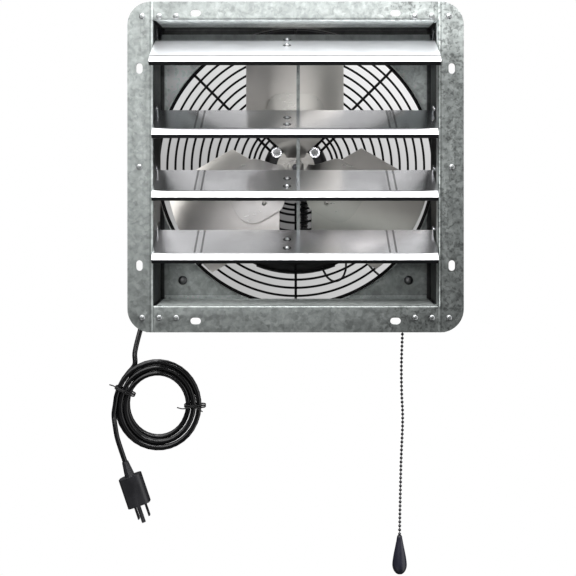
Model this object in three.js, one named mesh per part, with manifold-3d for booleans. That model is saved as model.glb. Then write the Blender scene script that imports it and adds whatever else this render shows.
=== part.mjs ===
// Shutter exhaust fan: a galvanised wall frame with four gravity slats, and behind it an orifice plate,
// a three-blade fan, a wire guard that carries the motor, a junction box, a pull-chain switch and a mains lead.
// Millimetres. X runs to the right, Y runs from the front of the flange into the wall, Z runs up.
// The model is laid out round the middle of the front flange, and the whole group is then moved so that
// the origin lies in the middle of the wall side of the top flange.
import * as THREE from "three";
import { mergeVertices } from "three/addons/utils/BufferGeometryUtils.js";
import Module from "manifold-3d";

const wasm = await Module();
wasm.setup();

// Sheet and clearances
const sheet = 0.8;
const bendRadius = 1.5;
const seatGap = 0.3;
const runGap = 0.3;
const overrun = 1;
const weldSink = 0.5;

// Wall frame
const frameWidth = 360;
const frameHeight = 354;
const frameCornerRadius = 25;
const sideFlange = 27.5;
const topFlange = 20.5;
const bottomFlange = 28.7;
const webDepth = 68;
const slotWidth = 7;
const slotLength = 11.4;
const sideSlotInset = 12.8;
const topSlotInset = 12.2;
const topSlotSpread = 107;
const sideSlotSpread = 105.5;
const rivetRadius = 3;
const rivetHeight = 1.2;
const cornerRivetReach = 11.8;
const cornerRivetPitch = 18.2;
const cornerRivetInset = 15.6;

// Fan box behind the wall frame
const boxStep = 8.5;
const boxFlange = 16;
const plateDepth = 78;
const orificeRim = 2.9;
const collarHeight = 7;
const plateScrewReach = 23.6;
const plateScrewRadius = 2.1;
const plateScrewHead = 5.2;
const plateScrewHeadHeight = 2.6;
const plateScrewLength = 10;

// Slats
const slatEndGap = 1.35;
const slatShift = -0.6;
const restTilt = 22.5;
const slatPivotDepth = 27;
const slatBackReach = 9.5;
const topSlatBackReach = 6.5;
const slatFrontShare = 0.7197;
const topSlatFrontShare = 0.8599;
const pivotHeight = 5;
const lipLength = 9.3;
const lipTilt = 45;
const hemLength = 4.5;
const hemTilt = 110;
const topPivotDrop = 8.5;
const slatPitchShare = 0.21654;
const topSlatPitchShare = 0.27625;
const pivotPinRadius = 2;
const pivotEarRadius = 4;
const pivotPinReach = 4;
const bushingRadius = 4.2;
const bushingLength = 2;

// Tie bar and its brackets
const crankRadius = 28;
const crankAngle = -54;
const tieBarX = 2.8;
const tieBarWidth = 3.6;
const tieBarDepth = 6;
const tiePinRadius = 1;
const tieBarEnd = 3.1;
const bracketSheet = 1.2;
const bracketX = -9.2;
const bracketPadWidth = 12.3;
const bracketPadBack = 4;
const bracketPadShort = 6.5;
const bracketRivetPlace = 14.5;
const bracketRivetPitch = 21;
const bracketLugRadius = 2.6;
const bracketCheekRoot = 14;

// Fan
const bladeTipGap = 5.3;
const bladeHalfWidth = 56.4;
const bladeGapHalf = 18.5;
const bladeMidDepth = 102;
const bladePitch = 22;
const bladeCamber = 5;
const bladeThickness = 1.2;
const bladeCount = 3;
const twistStart = 10;
const twistEnd = 32;
const bladeSeat = 0.5;
const spiderArmHalf = 34;
const spiderArmLength = 86;
const spiderArmCorner = 22;
const spiderThickness = 1.6;
const spiderDiscRadius = 22;
const bladeRivetSpread = 18;
const bladeRivetPlace = 51.8;
const hubRadius = 9.3;
const hubNose = 4;
const hubCollarRadius = 12;
const hubCollarLength = 18;
const hubScrewRadius = 2;
const shaftRadius = 4;
const shaftNose = 2;

// Guard
const guardDepth = 135;
const ringWire = 1.35;
const spokeWire = 1.6;
const faceRingGap = 5.6;
const innerFaceRing = 65.7;
const outerRingCount = 10;
const outerCoreRing = 56.2;
const coreRingStep = 5.9;
const coreRingCount = 3;
const cageLegGap = 0.5;
const cageRingDepths = [84.5, 99, 115];
const ringFacet = 38;
const armLegGap = 2.2;
const armBendRadius = 3.4;
const crossSpokeCount = 2;
const spokeCore = 42;
const armLoopRadius = 4.2;
const armFootOver = 4.3;
const armReturnOver = 4;

// Motor
const motorRadius = 38;
const motorFront = 140.2;
const frontBellLength = 16;
const statorLength = 20;
const rearBellLength = 22;
const statorInset = 1.2;
const bellRound = 7;
const bearingBossRadius = 10;
const bearingBossLength = 3;
const bearingSeatDepth = 13;
const motorBoltX = 22.5;
const motorBoltZ = 17.9;
const motorBoltRadius = 2;
const washerRadius = 6.4;
const washerThickness = 1.2;
const nutAcrossCorners = 4.4;
const nutThickness = 3.2;
const boltHeadRadius = 4;
const boltHeadHeight = 2.4;
const ventCount = 10;
const ventWidth = 5;
const ventDepth = 2.5;
const ventInner = 13;
const ventOuter = 24;
const leadX = 10;
const leadDepth = 163.2;
const leadRadius = 4;
const leadRib = 0.7;
const leadRibPitch = 3.6;
const leadBossRadius = 6.5;
const leadBossDrop = 41;

// Junction box
const boxFaceHalf = 47;
const boxRise = 47;
const boxArcGap = 25.5;
const boxFront = 139.4;
const boxDepth = 36;
const boxWall = 1.8;
const boxCornerRadius = 4;
const lidThickness = 1.6;
const lidSkirt = 1.5;
const glandDrop = 20;
const glandDepth = 157;
const glandFlangeRadius = 7;
const glandFlange = 3;
const glandRoot = 5.4;
const glandTip = 3.9;
const glandLength = 28;
const glandRings = 4;
const glandRingDepth = 0.6;

// Mains lead
const cordRadius = 2.9;
const cordSides = 8;
const coilCentre = [-158.5, 101, -275.4];
const coilOuter = 50;
const coilTall = 1.055;
const coilPitch = 6.3;
const coilLayer = 6.6;
const coilTurns = 5.12;
const coilStart = 135;
const coilSides = 6;
const coilSteps = 24;
const climbTurns = 0.5;
const tieAngles = [158, 0];
const tieThickness = 1;
const tieWidth = 4;
const tieClearance = 0.5;
const leadRoute = [
  [-75.6, 157, -100],
  [-92, 157, -100.4],
  [-112, 156, -104],
  [-133, 151, -113],
  [-152, 142, -129],
  [-167, 130, -151],
  [-177, 119, -174],
  [-183, 111, -196],
  [-187, 106, -216],
];
const tailRoute = [
  [-208.4, 95.5, -297],
  [-205.6, 93.8, -311],
  [-201, 92.8, -325],
  [-196.5, 92.4, -338],
];
const tailSteps = 12;
const leadSteps = 30;

// Plug
const plugReliefLength = 18;
const plugReliefTip = 3.7;
const plugReliefRoot = 6;
const plugLength = 34;
const plugWidth = 26;
const plugThickness = 20;
const plugCorner = 6;
const prongLength = 16;
const prongWidth = 6.4;
const prongThickness = 1.6;
const prongSpread = 6.35;
const groundPinRadius = 2.4;
const groundPinLength = 19;
const groundPinDrop = 8;

// Pull-chain switch
const switchInset = 37.6;
const switchDepth = 94;
const switchBodyWidth = 26;
const switchBodyDepth = 21;
const switchBodyHeight = 20;
const switchRise = 3.2;
const switchBracketSheet = 1.5;
const switchBracketWidth = 28;
const switchBracketRise = 20;
const bushRadius = 5;
const bushBore = 2.3;
const bushLength = 8;
const switchNutRadius = 7.4;
const switchNutHeight = 2.4;
const bellRadius = 6.2;
const bellLength = 4;
const boreRise = 9;
const switchLeadRadius = 1.3;
const switchLeadSteps = 30;
const switchLeadRoute = [
  [123.4, 104.8, -147],
  [123.2, 113, -147],
  [121, 129, -145],
  [114, 144, -140],
  [104, 153, -132.5],
  [92, 157, -122],
  [83, 158, -110],
  [74, 157.5, -101.5],
  [65, 157, -103],
  [61, 156.5, -113],
  [60, 156, -124],
  [55, 155.5, -134],
  [46, 155, -137],
  [38.5, 155, -132.5],
  [33, 155, -123.6],
];

// Pull chain and knob
const chainRadius = 1.6;
const chainTopRise = 7;
const chainSteps = 24;
const chainRoute = [
  [123.4, 94, -170],
  [122.9, 94, -192],
  [121.8, 94, -225],
  [122, 94, -258],
  [123.2, 94, -288],
  [121.4, 94, -337],
  [120.4, 94, -380],
  [119.6, 94, -423.4],
];
const knobLength = 45;
const knobRadius = 8.4;
const knobNeck = 2.6;
const knobWidestShare = 0.74;

// Facets
const smallFacets = 8;
const bodyFacets = 24;
const bendSteps = 3;
const boxSteps = 5;
const mergeTolerance = 1e-4;

// Places that follow from the frame
const openingHalf = frameWidth / 2 - sideFlange;
const openingTop = frameHeight / 2 - topFlange;
const openingBottom = -frameHeight / 2 + bottomFlange;
const boxHalfWidth = openingHalf + boxStep;
const boxHalfHeight = frameHeight / 2 - boxFlange;
const orificeRadius = Math.min(boxHalfWidth, boxHalfHeight) - orificeRim;
const plateScrewCircle = orificeRadius + plateScrewReach;
const plateScrewSpread = plateScrewCircle / Math.SQRT2;
const slatLength = 2 * (openingHalf - slatEndGap);
const slatPitch = slatPitchShare * (openingTop - openingBottom);
const topSlatPitch = topSlatPitchShare * (openingTop - openingBottom);
const slatFrontReach = slatFrontShare * slatPitch;
const topSlatFrontReach = topSlatFrontShare * topSlatPitch;
const bracketPadFront = slatFrontReach - bracketPadShort;
const bladeTipRadius = orificeRadius - bladeTipGap;
const outerFaceRing = orificeRadius - faceRingGap;
const cageLegRadius = orificeRadius - cageLegGap;
const armLegRadius = orificeRadius - armLegGap;
const armFootReach = plateScrewCircle + armFootOver;
const boxArcRadius = outerFaceRing - boxArcGap;
const boxTop = -boxArcRadius + boxRise;
const glandZ = boxTop - glandDrop;
const switchX = boxHalfWidth - switchInset;
const switchFoot = -boxHalfHeight + switchRise;
const boxFlangeFront = sheet + seatGap;
const wallFace = boxFlangeFront + sheet;
const turn = 2 * Math.PI;
const degrees = THREE.MathUtils.degToRad;
const facing = {
  x: new THREE.Matrix4().makeBasis(
    new THREE.Vector3(0, 1, 0),
    new THREE.Vector3(0, 0, 1),
    new THREE.Vector3(1, 0, 0),
  ),
  y: new THREE.Matrix4().makeBasis(
    new THREE.Vector3(1, 0, 0),
    new THREE.Vector3(0, 0, 1),
    new THREE.Vector3(0, -1, 0),
  ),
};

// Joining and cutting
function bare(geometry) {
  const copy = geometry.clone();
  copy.deleteAttribute("normal");
  copy.deleteAttribute("uv");
  return mergeVertices(copy, mergeTolerance);
}

function solidOf(geometry) {
  const merged = bare(geometry);
  return new wasm.Manifold(
    new wasm.Mesh({
      numProp: 3,
      vertProperties: merged.attributes.position.array,
      triVerts: new Uint32Array(merged.index.array),
    }),
  );
}

function geometryOf(solid) {
  const mesh = solid.getMesh();
  const geometry = new THREE.BufferGeometry();
  geometry.setAttribute("position", new THREE.BufferAttribute(mesh.vertProperties, 3));
  geometry.setIndex(new THREE.BufferAttribute(mesh.triVerts, 1));
  return geometry;
}

function join(...geometries) {
  const [first, ...rest] = geometries.map(solidOf);
  return geometryOf(rest.reduce((sum, next) => sum.add(next), first));
}

function cut(geometry, ...tools) {
  const [first, ...rest] = [geometry, ...tools].map(solidOf);
  return geometryOf(rest.reduce((left, next) => left.subtract(next), first));
}

function common(first, second) {
  return geometryOf(solidOf(first).intersect(solidOf(second)));
}

function mirrored(geometry) {
  const copy = bare(geometry).scale(-1, 1, 1);
  const index = copy.getIndex();
  for (let i = 0; i < index.count; i += 3) {
    const kept = index.getX(i);
    index.setX(i, index.getX(i + 1));
    index.setX(i + 1, kept);
  }
  return copy;
}

// Extrusions: a shape drawn in (depth, height) runs along X, one drawn in (width, height) runs along Y,
// and one drawn in (width, depth) runs along Z.
function alongX(shape, from, to) {
  const geometry = new THREE.ExtrudeGeometry(shape, { depth: to - from, bevelEnabled: false, curveSegments: bendSteps });
  return geometry.applyMatrix4(facing.x).translate(from, 0, 0);
}

function alongY(shape, from, to, curveSegments = bendSteps) {
  const geometry = new THREE.ExtrudeGeometry(shape, { depth: to - from, bevelEnabled: false, curveSegments });
  return geometry.applyMatrix4(facing.y).translate(0, to, 0);
}

function alongZ(shape, from, to) {
  const geometry = new THREE.ExtrudeGeometry(shape, { depth: to - from, bevelEnabled: false, curveSegments: bendSteps });
  return geometry.translate(0, 0, from);
}

// A round rod between two places on one axis, and a turned body with its axis along Y.
function rod(axis, radius, from, to, facets = smallFacets, endRadius = radius) {
  const geometry = new THREE.CylinderGeometry(endRadius, radius, to - from, facets);
  geometry.translate(0, (from + to) / 2, 0);
  if (axis === "x") return geometry.rotateZ(-Math.PI / 2);
  if (axis === "z") return geometry.rotateX(Math.PI / 2);
  return geometry;
}

function turned(outline, facets = bodyFacets) {
  return new THREE.LatheGeometry(
    outline.map(([radius, depth]) => new THREE.Vector2(radius, depth)),
    facets,
  );
}

function slotShape(centreX, centreZ, width, length, upright) {
  const radius = width / 2;
  const run = (length - width) / 2;
  const shape = new THREE.Shape();
  if (upright) {
    shape.absarc(centreX, centreZ + run, radius, 0, Math.PI, false);
    shape.absarc(centreX, centreZ - run, radius, Math.PI, turn, false);
  } else {
    shape.absarc(centreX + run, centreZ, radius, -Math.PI / 2, Math.PI / 2, false);
    shape.absarc(centreX - run, centreZ, radius, Math.PI / 2, 1.5 * Math.PI, false);
  }
  return shape;
}

function roundedRectangle(halfWidth, halfHeight, radius) {
  const shape = new THREE.Shape();
  shape.absarc(halfWidth - radius, halfHeight - radius, radius, 0, Math.PI / 2, false);
  shape.absarc(-halfWidth + radius, halfHeight - radius, radius, Math.PI / 2, Math.PI, false);
  shape.absarc(-halfWidth + radius, -halfHeight + radius, radius, Math.PI, 1.5 * Math.PI, false);
  shape.absarc(halfWidth - radius, -halfHeight + radius, radius, 1.5 * Math.PI, turn, false);
  return shape;
}

// A path with straight runs and round bends, kept at its own points when a section is swept along it.
class BentPath extends THREE.Curve {
  constructor(points) {
    super();
    this.points = points;
  }

  getPoint(share, target = new THREE.Vector3()) {
    const place = share * (this.points.length - 1);
    const run = Math.min(Math.floor(place), this.points.length - 2);
    return target.lerpVectors(this.points[run], this.points[run + 1], place - run);
  }

  getPointAt(share, target) {
    return this.getPoint(share, target);
  }

  getTangentAt(share, target = new THREE.Vector3()) {
    const last = this.points.length - 1;
    const place = Math.round(share * last);
    const ahead = this.points[Math.min(place + 1, last)];
    const behind = this.points[Math.max(place - 1, 0)];
    const here = this.points[place];
    const before = here.clone().sub(behind).normalize();
    return target.copy(ahead).sub(here).normalize().add(before).normalize();
  }
}

function bentRoute(corners, radius, steps = bendSteps) {
  const route = [corners[0]];
  for (let i = 1; i < corners.length - 1; i++) {
    const before = corners[i - 1].clone().sub(corners[i]).normalize();
    const after = corners[i + 1].clone().sub(corners[i]).normalize();
    const half = before.angleTo(after) / 2;
    const reach = radius / Math.tan(half);
    const inward = before.clone().add(after).normalize();
    const centre = corners[i].clone().addScaledVector(inward, radius / Math.sin(half));
    const start = corners[i].clone().addScaledVector(before, reach).sub(centre);
    const end = corners[i].clone().addScaledVector(after, reach).sub(centre);
    const sweep = start.angleTo(end);
    for (let k = 0; k <= steps; k++) {
      const share = k / steps;
      const spoke = start.clone().multiplyScalar(Math.sin((1 - share) * sweep));
      spoke.addScaledVector(end, Math.sin(share * sweep)).divideScalar(Math.sin(sweep));
      route.push(spoke.add(centre));
    }
  }
  route.push(corners.at(-1));
  return route;
}

function sectionOf(radius, sides) {
  const shape = new THREE.Shape();
  for (let i = 0; i < sides; i++) {
    const angle = (turn * i) / sides;
    const [x, y] = [radius * Math.cos(angle), radius * Math.sin(angle)];
    if (i === 0) shape.moveTo(x, y);
    else shape.lineTo(x, y);
  }
  return shape;
}

function wire(points, radius, sides = 6) {
  return new THREE.ExtrudeGeometry(sectionOf(radius, sides), {
    steps: points.length - 1,
    extrudePath: new BentPath(points),
    bevelEnabled: false,
  });
}

function softTube(points, radius, sides, steps) {
  const curve = new THREE.CatmullRomCurve3(points, false, "centripetal");
  return wire(curve.getSpacedPoints(steps), radius, sides);
}

const vectors = (rows) => rows.map((row) => new THREE.Vector3(...row));

// Materials
const galvanised = { color: 0xa3aaa6, roughness: 0.48, metalness: 0.85 };
const polished = { color: 0xd8d9dc, roughness: 0.16, metalness: 1 };
const bladeMetal = { color: 0xb9b5b0, roughness: 0.4, metalness: 0.9 };
const blackWire = { color: 0x101012, roughness: 0.42, metalness: 0.2 };
const blackPaint = { color: 0x141416, roughness: 0.5, metalness: 0.3 };
const blackPlastic = { color: 0x0e0e11, roughness: 0.4, metalness: 0 };
const zincSteel = { color: 0xb5b8ba, roughness: 0.35, metalness: 0.95 };
const laminated = { color: 0x4a4c50, roughness: 0.55, metalness: 0.8 };
const cordJacket = { color: 0x0b0b0c, roughness: 0.38, metalness: 0 };
const darkPlated = { color: 0x1c1c20, roughness: 0.3, metalness: 0.7 };

const fan = new THREE.Group();

function add(name, geometry, finish, parent = fan) {
  const mesh = new THREE.Mesh(geometry, new THREE.MeshStandardMaterial(finish));
  mesh.name = name;
  parent.add(mesh);
  return mesh;
}

// Wall frame: four L members whose flange and web meet in a round bend
function memberProfile(flange, flangeReach) {
  const outer = bendRadius + sheet;
  const shape = new THREE.Shape();
  shape.moveTo(flangeReach, 0);
  shape.lineTo(flangeReach, sheet);
  shape.lineTo(outer, sheet);
  shape.absarc(outer, outer, bendRadius, -Math.PI / 2, -Math.PI, true);
  shape.lineTo(sheet, webDepth);
  shape.lineTo(0, webDepth);
  shape.lineTo(0, outer);
  shape.absarc(outer, outer, outer, Math.PI, 1.5 * Math.PI, false);
  shape.lineTo(flangeReach, 0);
  return shape;
}

// One side's flange: the rounded front plate outward of its wall, kept clear of the bend between the corners.
function sideFlangeSheet(inner, noseFrom, noseTo, noseReach, front) {
  const halfWidth = frameWidth / 2;
  const halfHeight = frameHeight / 2;
  const zone = new THREE.Shape();
  zone.moveTo(inner, -halfHeight - overrun);
  zone.lineTo(halfWidth + overrun, -halfHeight - overrun);
  zone.lineTo(halfWidth + overrun, halfHeight + overrun);
  zone.lineTo(inner, halfHeight + overrun);
  zone.lineTo(inner, noseTo);
  zone.lineTo(inner + noseReach, noseTo);
  zone.lineTo(inner + noseReach, noseFrom);
  zone.lineTo(inner, noseFrom);
  return common(
    alongY(roundedRectangle(halfWidth, halfHeight, frameCornerRadius), front, front + sheet, cornerSteps),
    alongY(zone, front - overrun, front + sheet + overrun),
  );
}

const cornerSteps = 6;
const sideSlotX = frameWidth / 2 - sideSlotInset;
const topSlotZ = frameHeight / 2 - topSlotInset;
const topPivot = openingTop - topPivotDrop;
const slatPivots = [topPivot, ...[0, 1, 2].map((step) => topPivot - topSlatPitch - step * slatPitch)];

function slotCutters(upright) {
  const cutters = [];
  for (const side of [-1, 1]) {
    const slot = upright
      ? slotShape(sideSlotX, side * sideSlotSpread, slotWidth, slotLength, true)
      : slotShape(side * topSlotSpread, topSlotZ, slotWidth, slotLength, false);
    cutters.push(alongY(slot, -overrun, wallFace + overrun, bendSteps + 1));
  }
  return cutters;
}

function rivetHead(x, z, front = 0) {
  const outline = [
    [0, -rivetHeight],
    [rivetRadius * 0.7, -rivetHeight * 0.7],
    [rivetRadius, 0],
    [rivetRadius, sheet / 2],
    [0, sheet / 2],
  ];
  return turned(outline, smallFacets).translate(x, front, z);
}

function sideFrameMember() {
  const outer = bendRadius + sheet;
  const flange = sideFlangeSheet(openingHalf, openingBottom - sheet, openingTop + sheet, outer, 0);
  const profile = memberProfile(sideFlange, sideFlange / 2);
  const web = alongZ(profile, openingBottom - sheet, openingTop + sheet).translate(openingHalf, 0, 0);
  const bushings = slatPivots.map((height) =>
    rod("x", bushingRadius, openingHalf + sheet - weldSink, openingHalf + sheet + bushingLength)
      .translate(0, slatPivotDepth, height),
  );
  const holes = slatPivots.map((height) =>
    rod("x", pivotPinRadius + runGap, openingHalf - overrun, openingHalf + sheet + bushingLength + overrun)
      .translate(0, slatPivotDepth, height),
  );
  const rivets = [
    rivetHead(openingHalf + cornerRivetReach, frameHeight / 2 - cornerRivetInset),
    rivetHead(openingHalf + cornerRivetReach, -frameHeight / 2 + cornerRivetInset),
    rivetHead(sideSlotX, 0),
  ];
  return cut(join(flange, web, ...bushings, ...rivets), ...holes, ...slotCutters(true));
}

function crossFrameMember(flange) {
  const end = openingHalf - seatGap;
  const rivets = [-2, -1, 1, 2].map((place) =>
    rivetHead(
      Math.sign(place) * (openingHalf + cornerRivetReach - Math.abs(place) * cornerRivetPitch),
      frameHeight / 2 - cornerRivetInset,
    ),
  );
  const profile = memberProfile(flange, flange);
  const web = alongX(swapped(profile), -end, end).translate(0, 0, frameHeight / 2 - flange);
  return cut(join(web, ...rivets), ...slotCutters(false));
}

// The member's profile is drawn with its flange along the first axis; a cross member has it along the second.
function swapped(shape) {
  const points = shape.getPoints(bendSteps).map((point) => new THREE.Vector2(point.y, point.x));
  return new THREE.Shape(points.reverse());
}

const rightMember = sideFrameMember();
add("shutter_frame_right", rightMember, galvanised);
add("shutter_frame_left", mirrored(rightMember), galvanised);
add("shutter_frame_top", crossFrameMember(topFlange), galvanised);
add("shutter_frame_bottom", crossFrameMember(bottomFlange).rotateY(Math.PI), galvanised);

// Fan box: four L sides behind the wall frame, with the same slots
function boxProfile(flangeReach, wallEnd) {
  const outer = bendRadius + sheet;
  const shape = new THREE.Shape();
  shape.moveTo(flangeReach, boxFlangeFront);
  shape.lineTo(flangeReach, wallFace);
  shape.lineTo(outer - sheet, wallFace);
  shape.absarc(outer - sheet, boxFlangeFront + outer, bendRadius, -Math.PI / 2, -Math.PI, true);
  shape.lineTo(0, wallEnd);
  shape.lineTo(-sheet, wallEnd);
  shape.lineTo(-sheet, boxFlangeFront + outer);
  shape.absarc(outer - sheet, boxFlangeFront + outer, outer, Math.PI, 1.5 * Math.PI, false);
  shape.lineTo(flangeReach, boxFlangeFront);
  return shape;
}

const boxEnd = plateDepth + 2 * sheet;

function boxSide() {
  const flange = sideFlangeSheet(
    boxHalfWidth, -boxHalfHeight, boxHalfHeight, bendRadius + sheet, boxFlangeFront,
  );
  const profile = boxProfile((frameWidth / 2 - boxHalfWidth) / 2, boxEnd);
  const wall = alongZ(profile, -boxHalfHeight, boxHalfHeight).translate(boxHalfWidth, 0, 0);
  return cut(join(flange, wall), ...slotCutters(true));
}

function boxCross() {
  const end = boxHalfWidth - sheet - seatGap;
  const profile = swapped(boxProfile(boxFlange, boxEnd));
  return cut(alongX(profile, -end, end).translate(0, 0, boxHalfHeight), ...slotCutters(false));
}

const rightBoxSide = boxSide();
add("box_side_right", rightBoxSide, galvanised);
add("box_side_left", mirrored(rightBoxSide), galvanised);
add("box_side_top", boxCross(), galvanised);
add("box_side_bottom", boxCross().rotateY(Math.PI), galvanised);

// Orifice plate: a square sheet with a round opening whose rim is turned towards the front
const plateRear = plateDepth + sheet;
const plateHalfWidth = boxHalfWidth - sheet - seatGap;
const plateHalfHeight = boxHalfHeight - sheet - seatGap;
const cornersOf = [45, 135, 225, 315];
const cornerSigns = [[1, 1], [-1, 1], [-1, -1], [1, -1]];

function orificePlate() {
  const square = new THREE.Shape();
  square.moveTo(-plateHalfWidth, -plateHalfHeight);
  square.lineTo(plateHalfWidth, -plateHalfHeight);
  square.lineTo(plateHalfWidth, plateHalfHeight);
  square.lineTo(-plateHalfWidth, plateHalfHeight);
  const hole = new THREE.Path();
  hole.absarc(0, 0, orificeRadius + sheet / 2, 0, turn, true);
  square.holes.push(hole);
  const rim = [
    [orificeRadius, plateRear],
    [orificeRadius, plateDepth - collarHeight + sheet / 2],
    [orificeRadius + sheet / 2, plateDepth - collarHeight],
    [orificeRadius + sheet, plateDepth - collarHeight + sheet / 2],
    [orificeRadius + sheet, plateRear],
    [orificeRadius, plateRear],
  ];
  const holes = cornerSigns.map(([right, up]) =>
    rod("y", plateScrewRadius + runGap, plateDepth - overrun, plateRear + overrun)
      .translate(right * plateScrewSpread, 0, up * plateScrewSpread),
  );
  const facets = bodyFacets;
  return cut(join(alongY(square, plateDepth, plateRear, facets), turned(rim, 2 * facets)), ...holes);
}

add("orifice_plate", orificePlate(), galvanised);

const footDepth = plateRear + seatGap + spokeWire;

function plateScrew() {
  const headSeat = plateDepth - seatGap;
  const washerFront = footDepth + spokeWire + seatGap;
  const head = [
    [0, headSeat - plateScrewHeadHeight],
    [plateScrewHead * 0.5, headSeat - plateScrewHeadHeight * 0.9],
    [plateScrewHead * 0.9, headSeat - plateScrewHeadHeight * 0.5],
    [plateScrewHead, headSeat],
    [0, headSeat],
  ];
  const washerRear = washerFront + washerThickness;
  return join(
    turned(head, smallFacets + 2),
    rod("y", plateScrewRadius, headSeat - weldSink, plateRear + plateScrewLength),
    rod("y", washerRadius + plateScrewRadius, washerFront, washerRear, smallFacets + 2),
    rod("y", nutAcrossCorners, washerRear - weldSink, washerRear + nutThickness, 6),
  );
}

cornerSigns.forEach(([right, up], index) => {
  const screw = add(`plate_screw_${index + 1}`, plateScrew(), darkPlated);
  screw.position.set(right * plateScrewSpread, 0, up * plateScrewSpread);
});

// Wire guard: a flat face of rings on two upright spokes, and a cage of three side rings on two legs
const spokeDepth = guardDepth + ringWire + spokeWire - weldSink;
const cageRingRadius = cageLegRadius + spokeWire + ringWire - weldSink;

function ring(radius, depth) {
  const facets = 4 * Math.max(4, Math.round((turn * radius) / ringFacet / 4));
  return new THREE.TorusGeometry(radius, ringWire, 4, facets).rotateX(Math.PI / 2).translate(0, depth, 0);
}

function crossSpokes(from, to, build) {
  return Array.from({ length: crossSpokeCount }, (unused, index) =>
    build(from, to).rotateY((turn * (index + 0.5)) / crossSpokeCount),
  );
}

function guardFace() {
  const step = (outerFaceRing - innerFaceRing) / (outerRingCount - 1);
  const radii = Array.from({ length: outerRingCount }, (unused, index) => innerFaceRing + index * step);
  const core = Array.from({ length: coreRingCount }, (unused, index) => outerCoreRing - index * coreRingStep);
  const rings = [...core, ...radii].map((radius) => ring(radius, guardDepth));
  const spokes = crossSpokes(spokeCore, outerFaceRing + spokeWire, (from, to) =>
    rod("x", spokeWire, from, to, 6).translate(0, spokeDepth, 0),
  );
  return join(...rings, ...spokes);
}

function guardCage() {
  const rings = cageRingDepths.map((depth) => ring(cageRingRadius, depth));
  const legs = crossSpokes(cageRingDepths[0] - ringWire, spokeDepth, (from, to) => {
    const corners = [
      new THREE.Vector3(cageLegRadius, from, 0),
      new THREE.Vector3(cageLegRadius, to, 0),
      new THREE.Vector3(outerFaceRing + spokeWire + seatGap, to, 0),
    ];
    return wire(bentRoute(corners, cageLegRadius - outerFaceRing - spokeWire - 2 * seatGap), spokeWire);
  });
  return join(...rings, ...legs);
}

add("guard_face", guardFace(), blackWire);
add("guard_cage", guardCage(), blackWire);

// Motor arms: at each corner one wire from the plate screw to the motor bolt, round it and a short way back.
// Each is drawn along +X, with its bolt off to one side, and then turned to its corner.
const armDepth = guardDepth + ringWire + seatGap + spokeWire;
const boltAlong = (motorBoltX + motorBoltZ) / Math.SQRT2;
const boltAside = (motorBoltX - motorBoltZ) / Math.SQRT2;

function motorArm(lean) {
  const middle = lean * boltAside;
  const side = middle + armLoopRadius;
  const corners = [
    new THREE.Vector3(armFootReach, footDepth, plateScrewRadius + 2 * spokeWire),
    new THREE.Vector3(armLegRadius, footDepth, side),
    new THREE.Vector3(armLegRadius, armDepth, side),
    new THREE.Vector3(boltAlong, armDepth, side),
  ];
  const route = bentRoute(corners, armBendRadius);
  const loopSteps = 5;
  for (let i = 1; i <= loopSteps; i++) {
    const angle = (Math.PI * i) / loopSteps;
    route.push(new THREE.Vector3(
      boltAlong - armLoopRadius * Math.sin(angle), armDepth, middle + armLoopRadius * Math.cos(angle),
    ));
  }
  route.push(new THREE.Vector3(innerFaceRing + armReturnOver, armDepth, middle - armLoopRadius));
  return wire(route, spokeWire);
}

cornersOf.forEach((angle, index) => {
  const lean = index % 2 === 0 ? -1 : 1;
  add(`motor_arm_${index + 1}`, motorArm(lean), blackWire).rotation.y = -degrees(angle);
});

// Motor: two bells on a laminated stator, held by four through bolts
const statorFront = motorFront + frontBellLength;
const statorRear = statorFront + statorLength;
const motorRear = statorRear + rearBellLength;

function boltHoles(from, to) {
  return cornerSigns.map(([right, up]) =>
    rod("y", motorBoltRadius + runGap, from - overrun, to + overrun)
      .translate(right * motorBoltX, 0, up * motorBoltZ),
  );
}

function bellOutline(face, rim, direction) {
  const points = [
    [shaftRadius + runGap, face - direction * bearingBossLength],
    [bearingBossRadius, face - direction * bearingBossLength],
    [bearingBossRadius, face],
  ];
  const roundSteps = 4;
  for (let i = 0; i <= roundSteps; i++) {
    const angle = (Math.PI / 2) * (i / roundSteps);
    points.push([
      motorRadius - bellRound + bellRound * Math.sin(angle),
      face + direction * bellRound * (1 - Math.cos(angle)),
    ]);
  }
  points.push([motorRadius, rim]);
  return points;
}

function frontBell() {
  const rim = statorFront - seatGap;
  const outline = bellOutline(motorFront, rim, 1);
  outline.push([0, rim], [0, motorFront + bearingSeatDepth], [shaftRadius + runGap, motorFront + bearingSeatDepth]);
  outline.push(outline[0]);
  return cut(turned(outline), ...boltHoles(motorFront, rim));
}

function stator() {
  const outline = [
    [0, statorFront],
    [motorRadius - statorInset, statorFront],
    [motorRadius - statorInset, statorRear],
    [0, statorRear],
  ];
  const boss = rod("z", leadBossRadius, -leadBossDrop, -motorRadius / 2, 10).translate(leadX, leadDepth, 0);
  return cut(join(turned(outline), boss), ...boltHoles(statorFront, statorRear));
}

function rearBell() {
  const rim = statorRear + seatGap;
  const outline = bellOutline(motorRear, rim, -1);
  outline[0] = [0, motorRear + bearingBossLength];
  outline.push([0, rim]);
  const vents = Array.from({ length: ventCount }, (unused, index) =>
    new THREE.BoxGeometry(ventOuter - ventInner, 2 * ventDepth, ventWidth)
      .translate((ventInner + ventOuter) / 2, motorRear, 0)
      .rotateY((turn * (index + 0.5)) / ventCount),
  );
  return cut(turned(outline.reverse()), ...vents, ...boltHoles(rim, motorRear));
}

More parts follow.
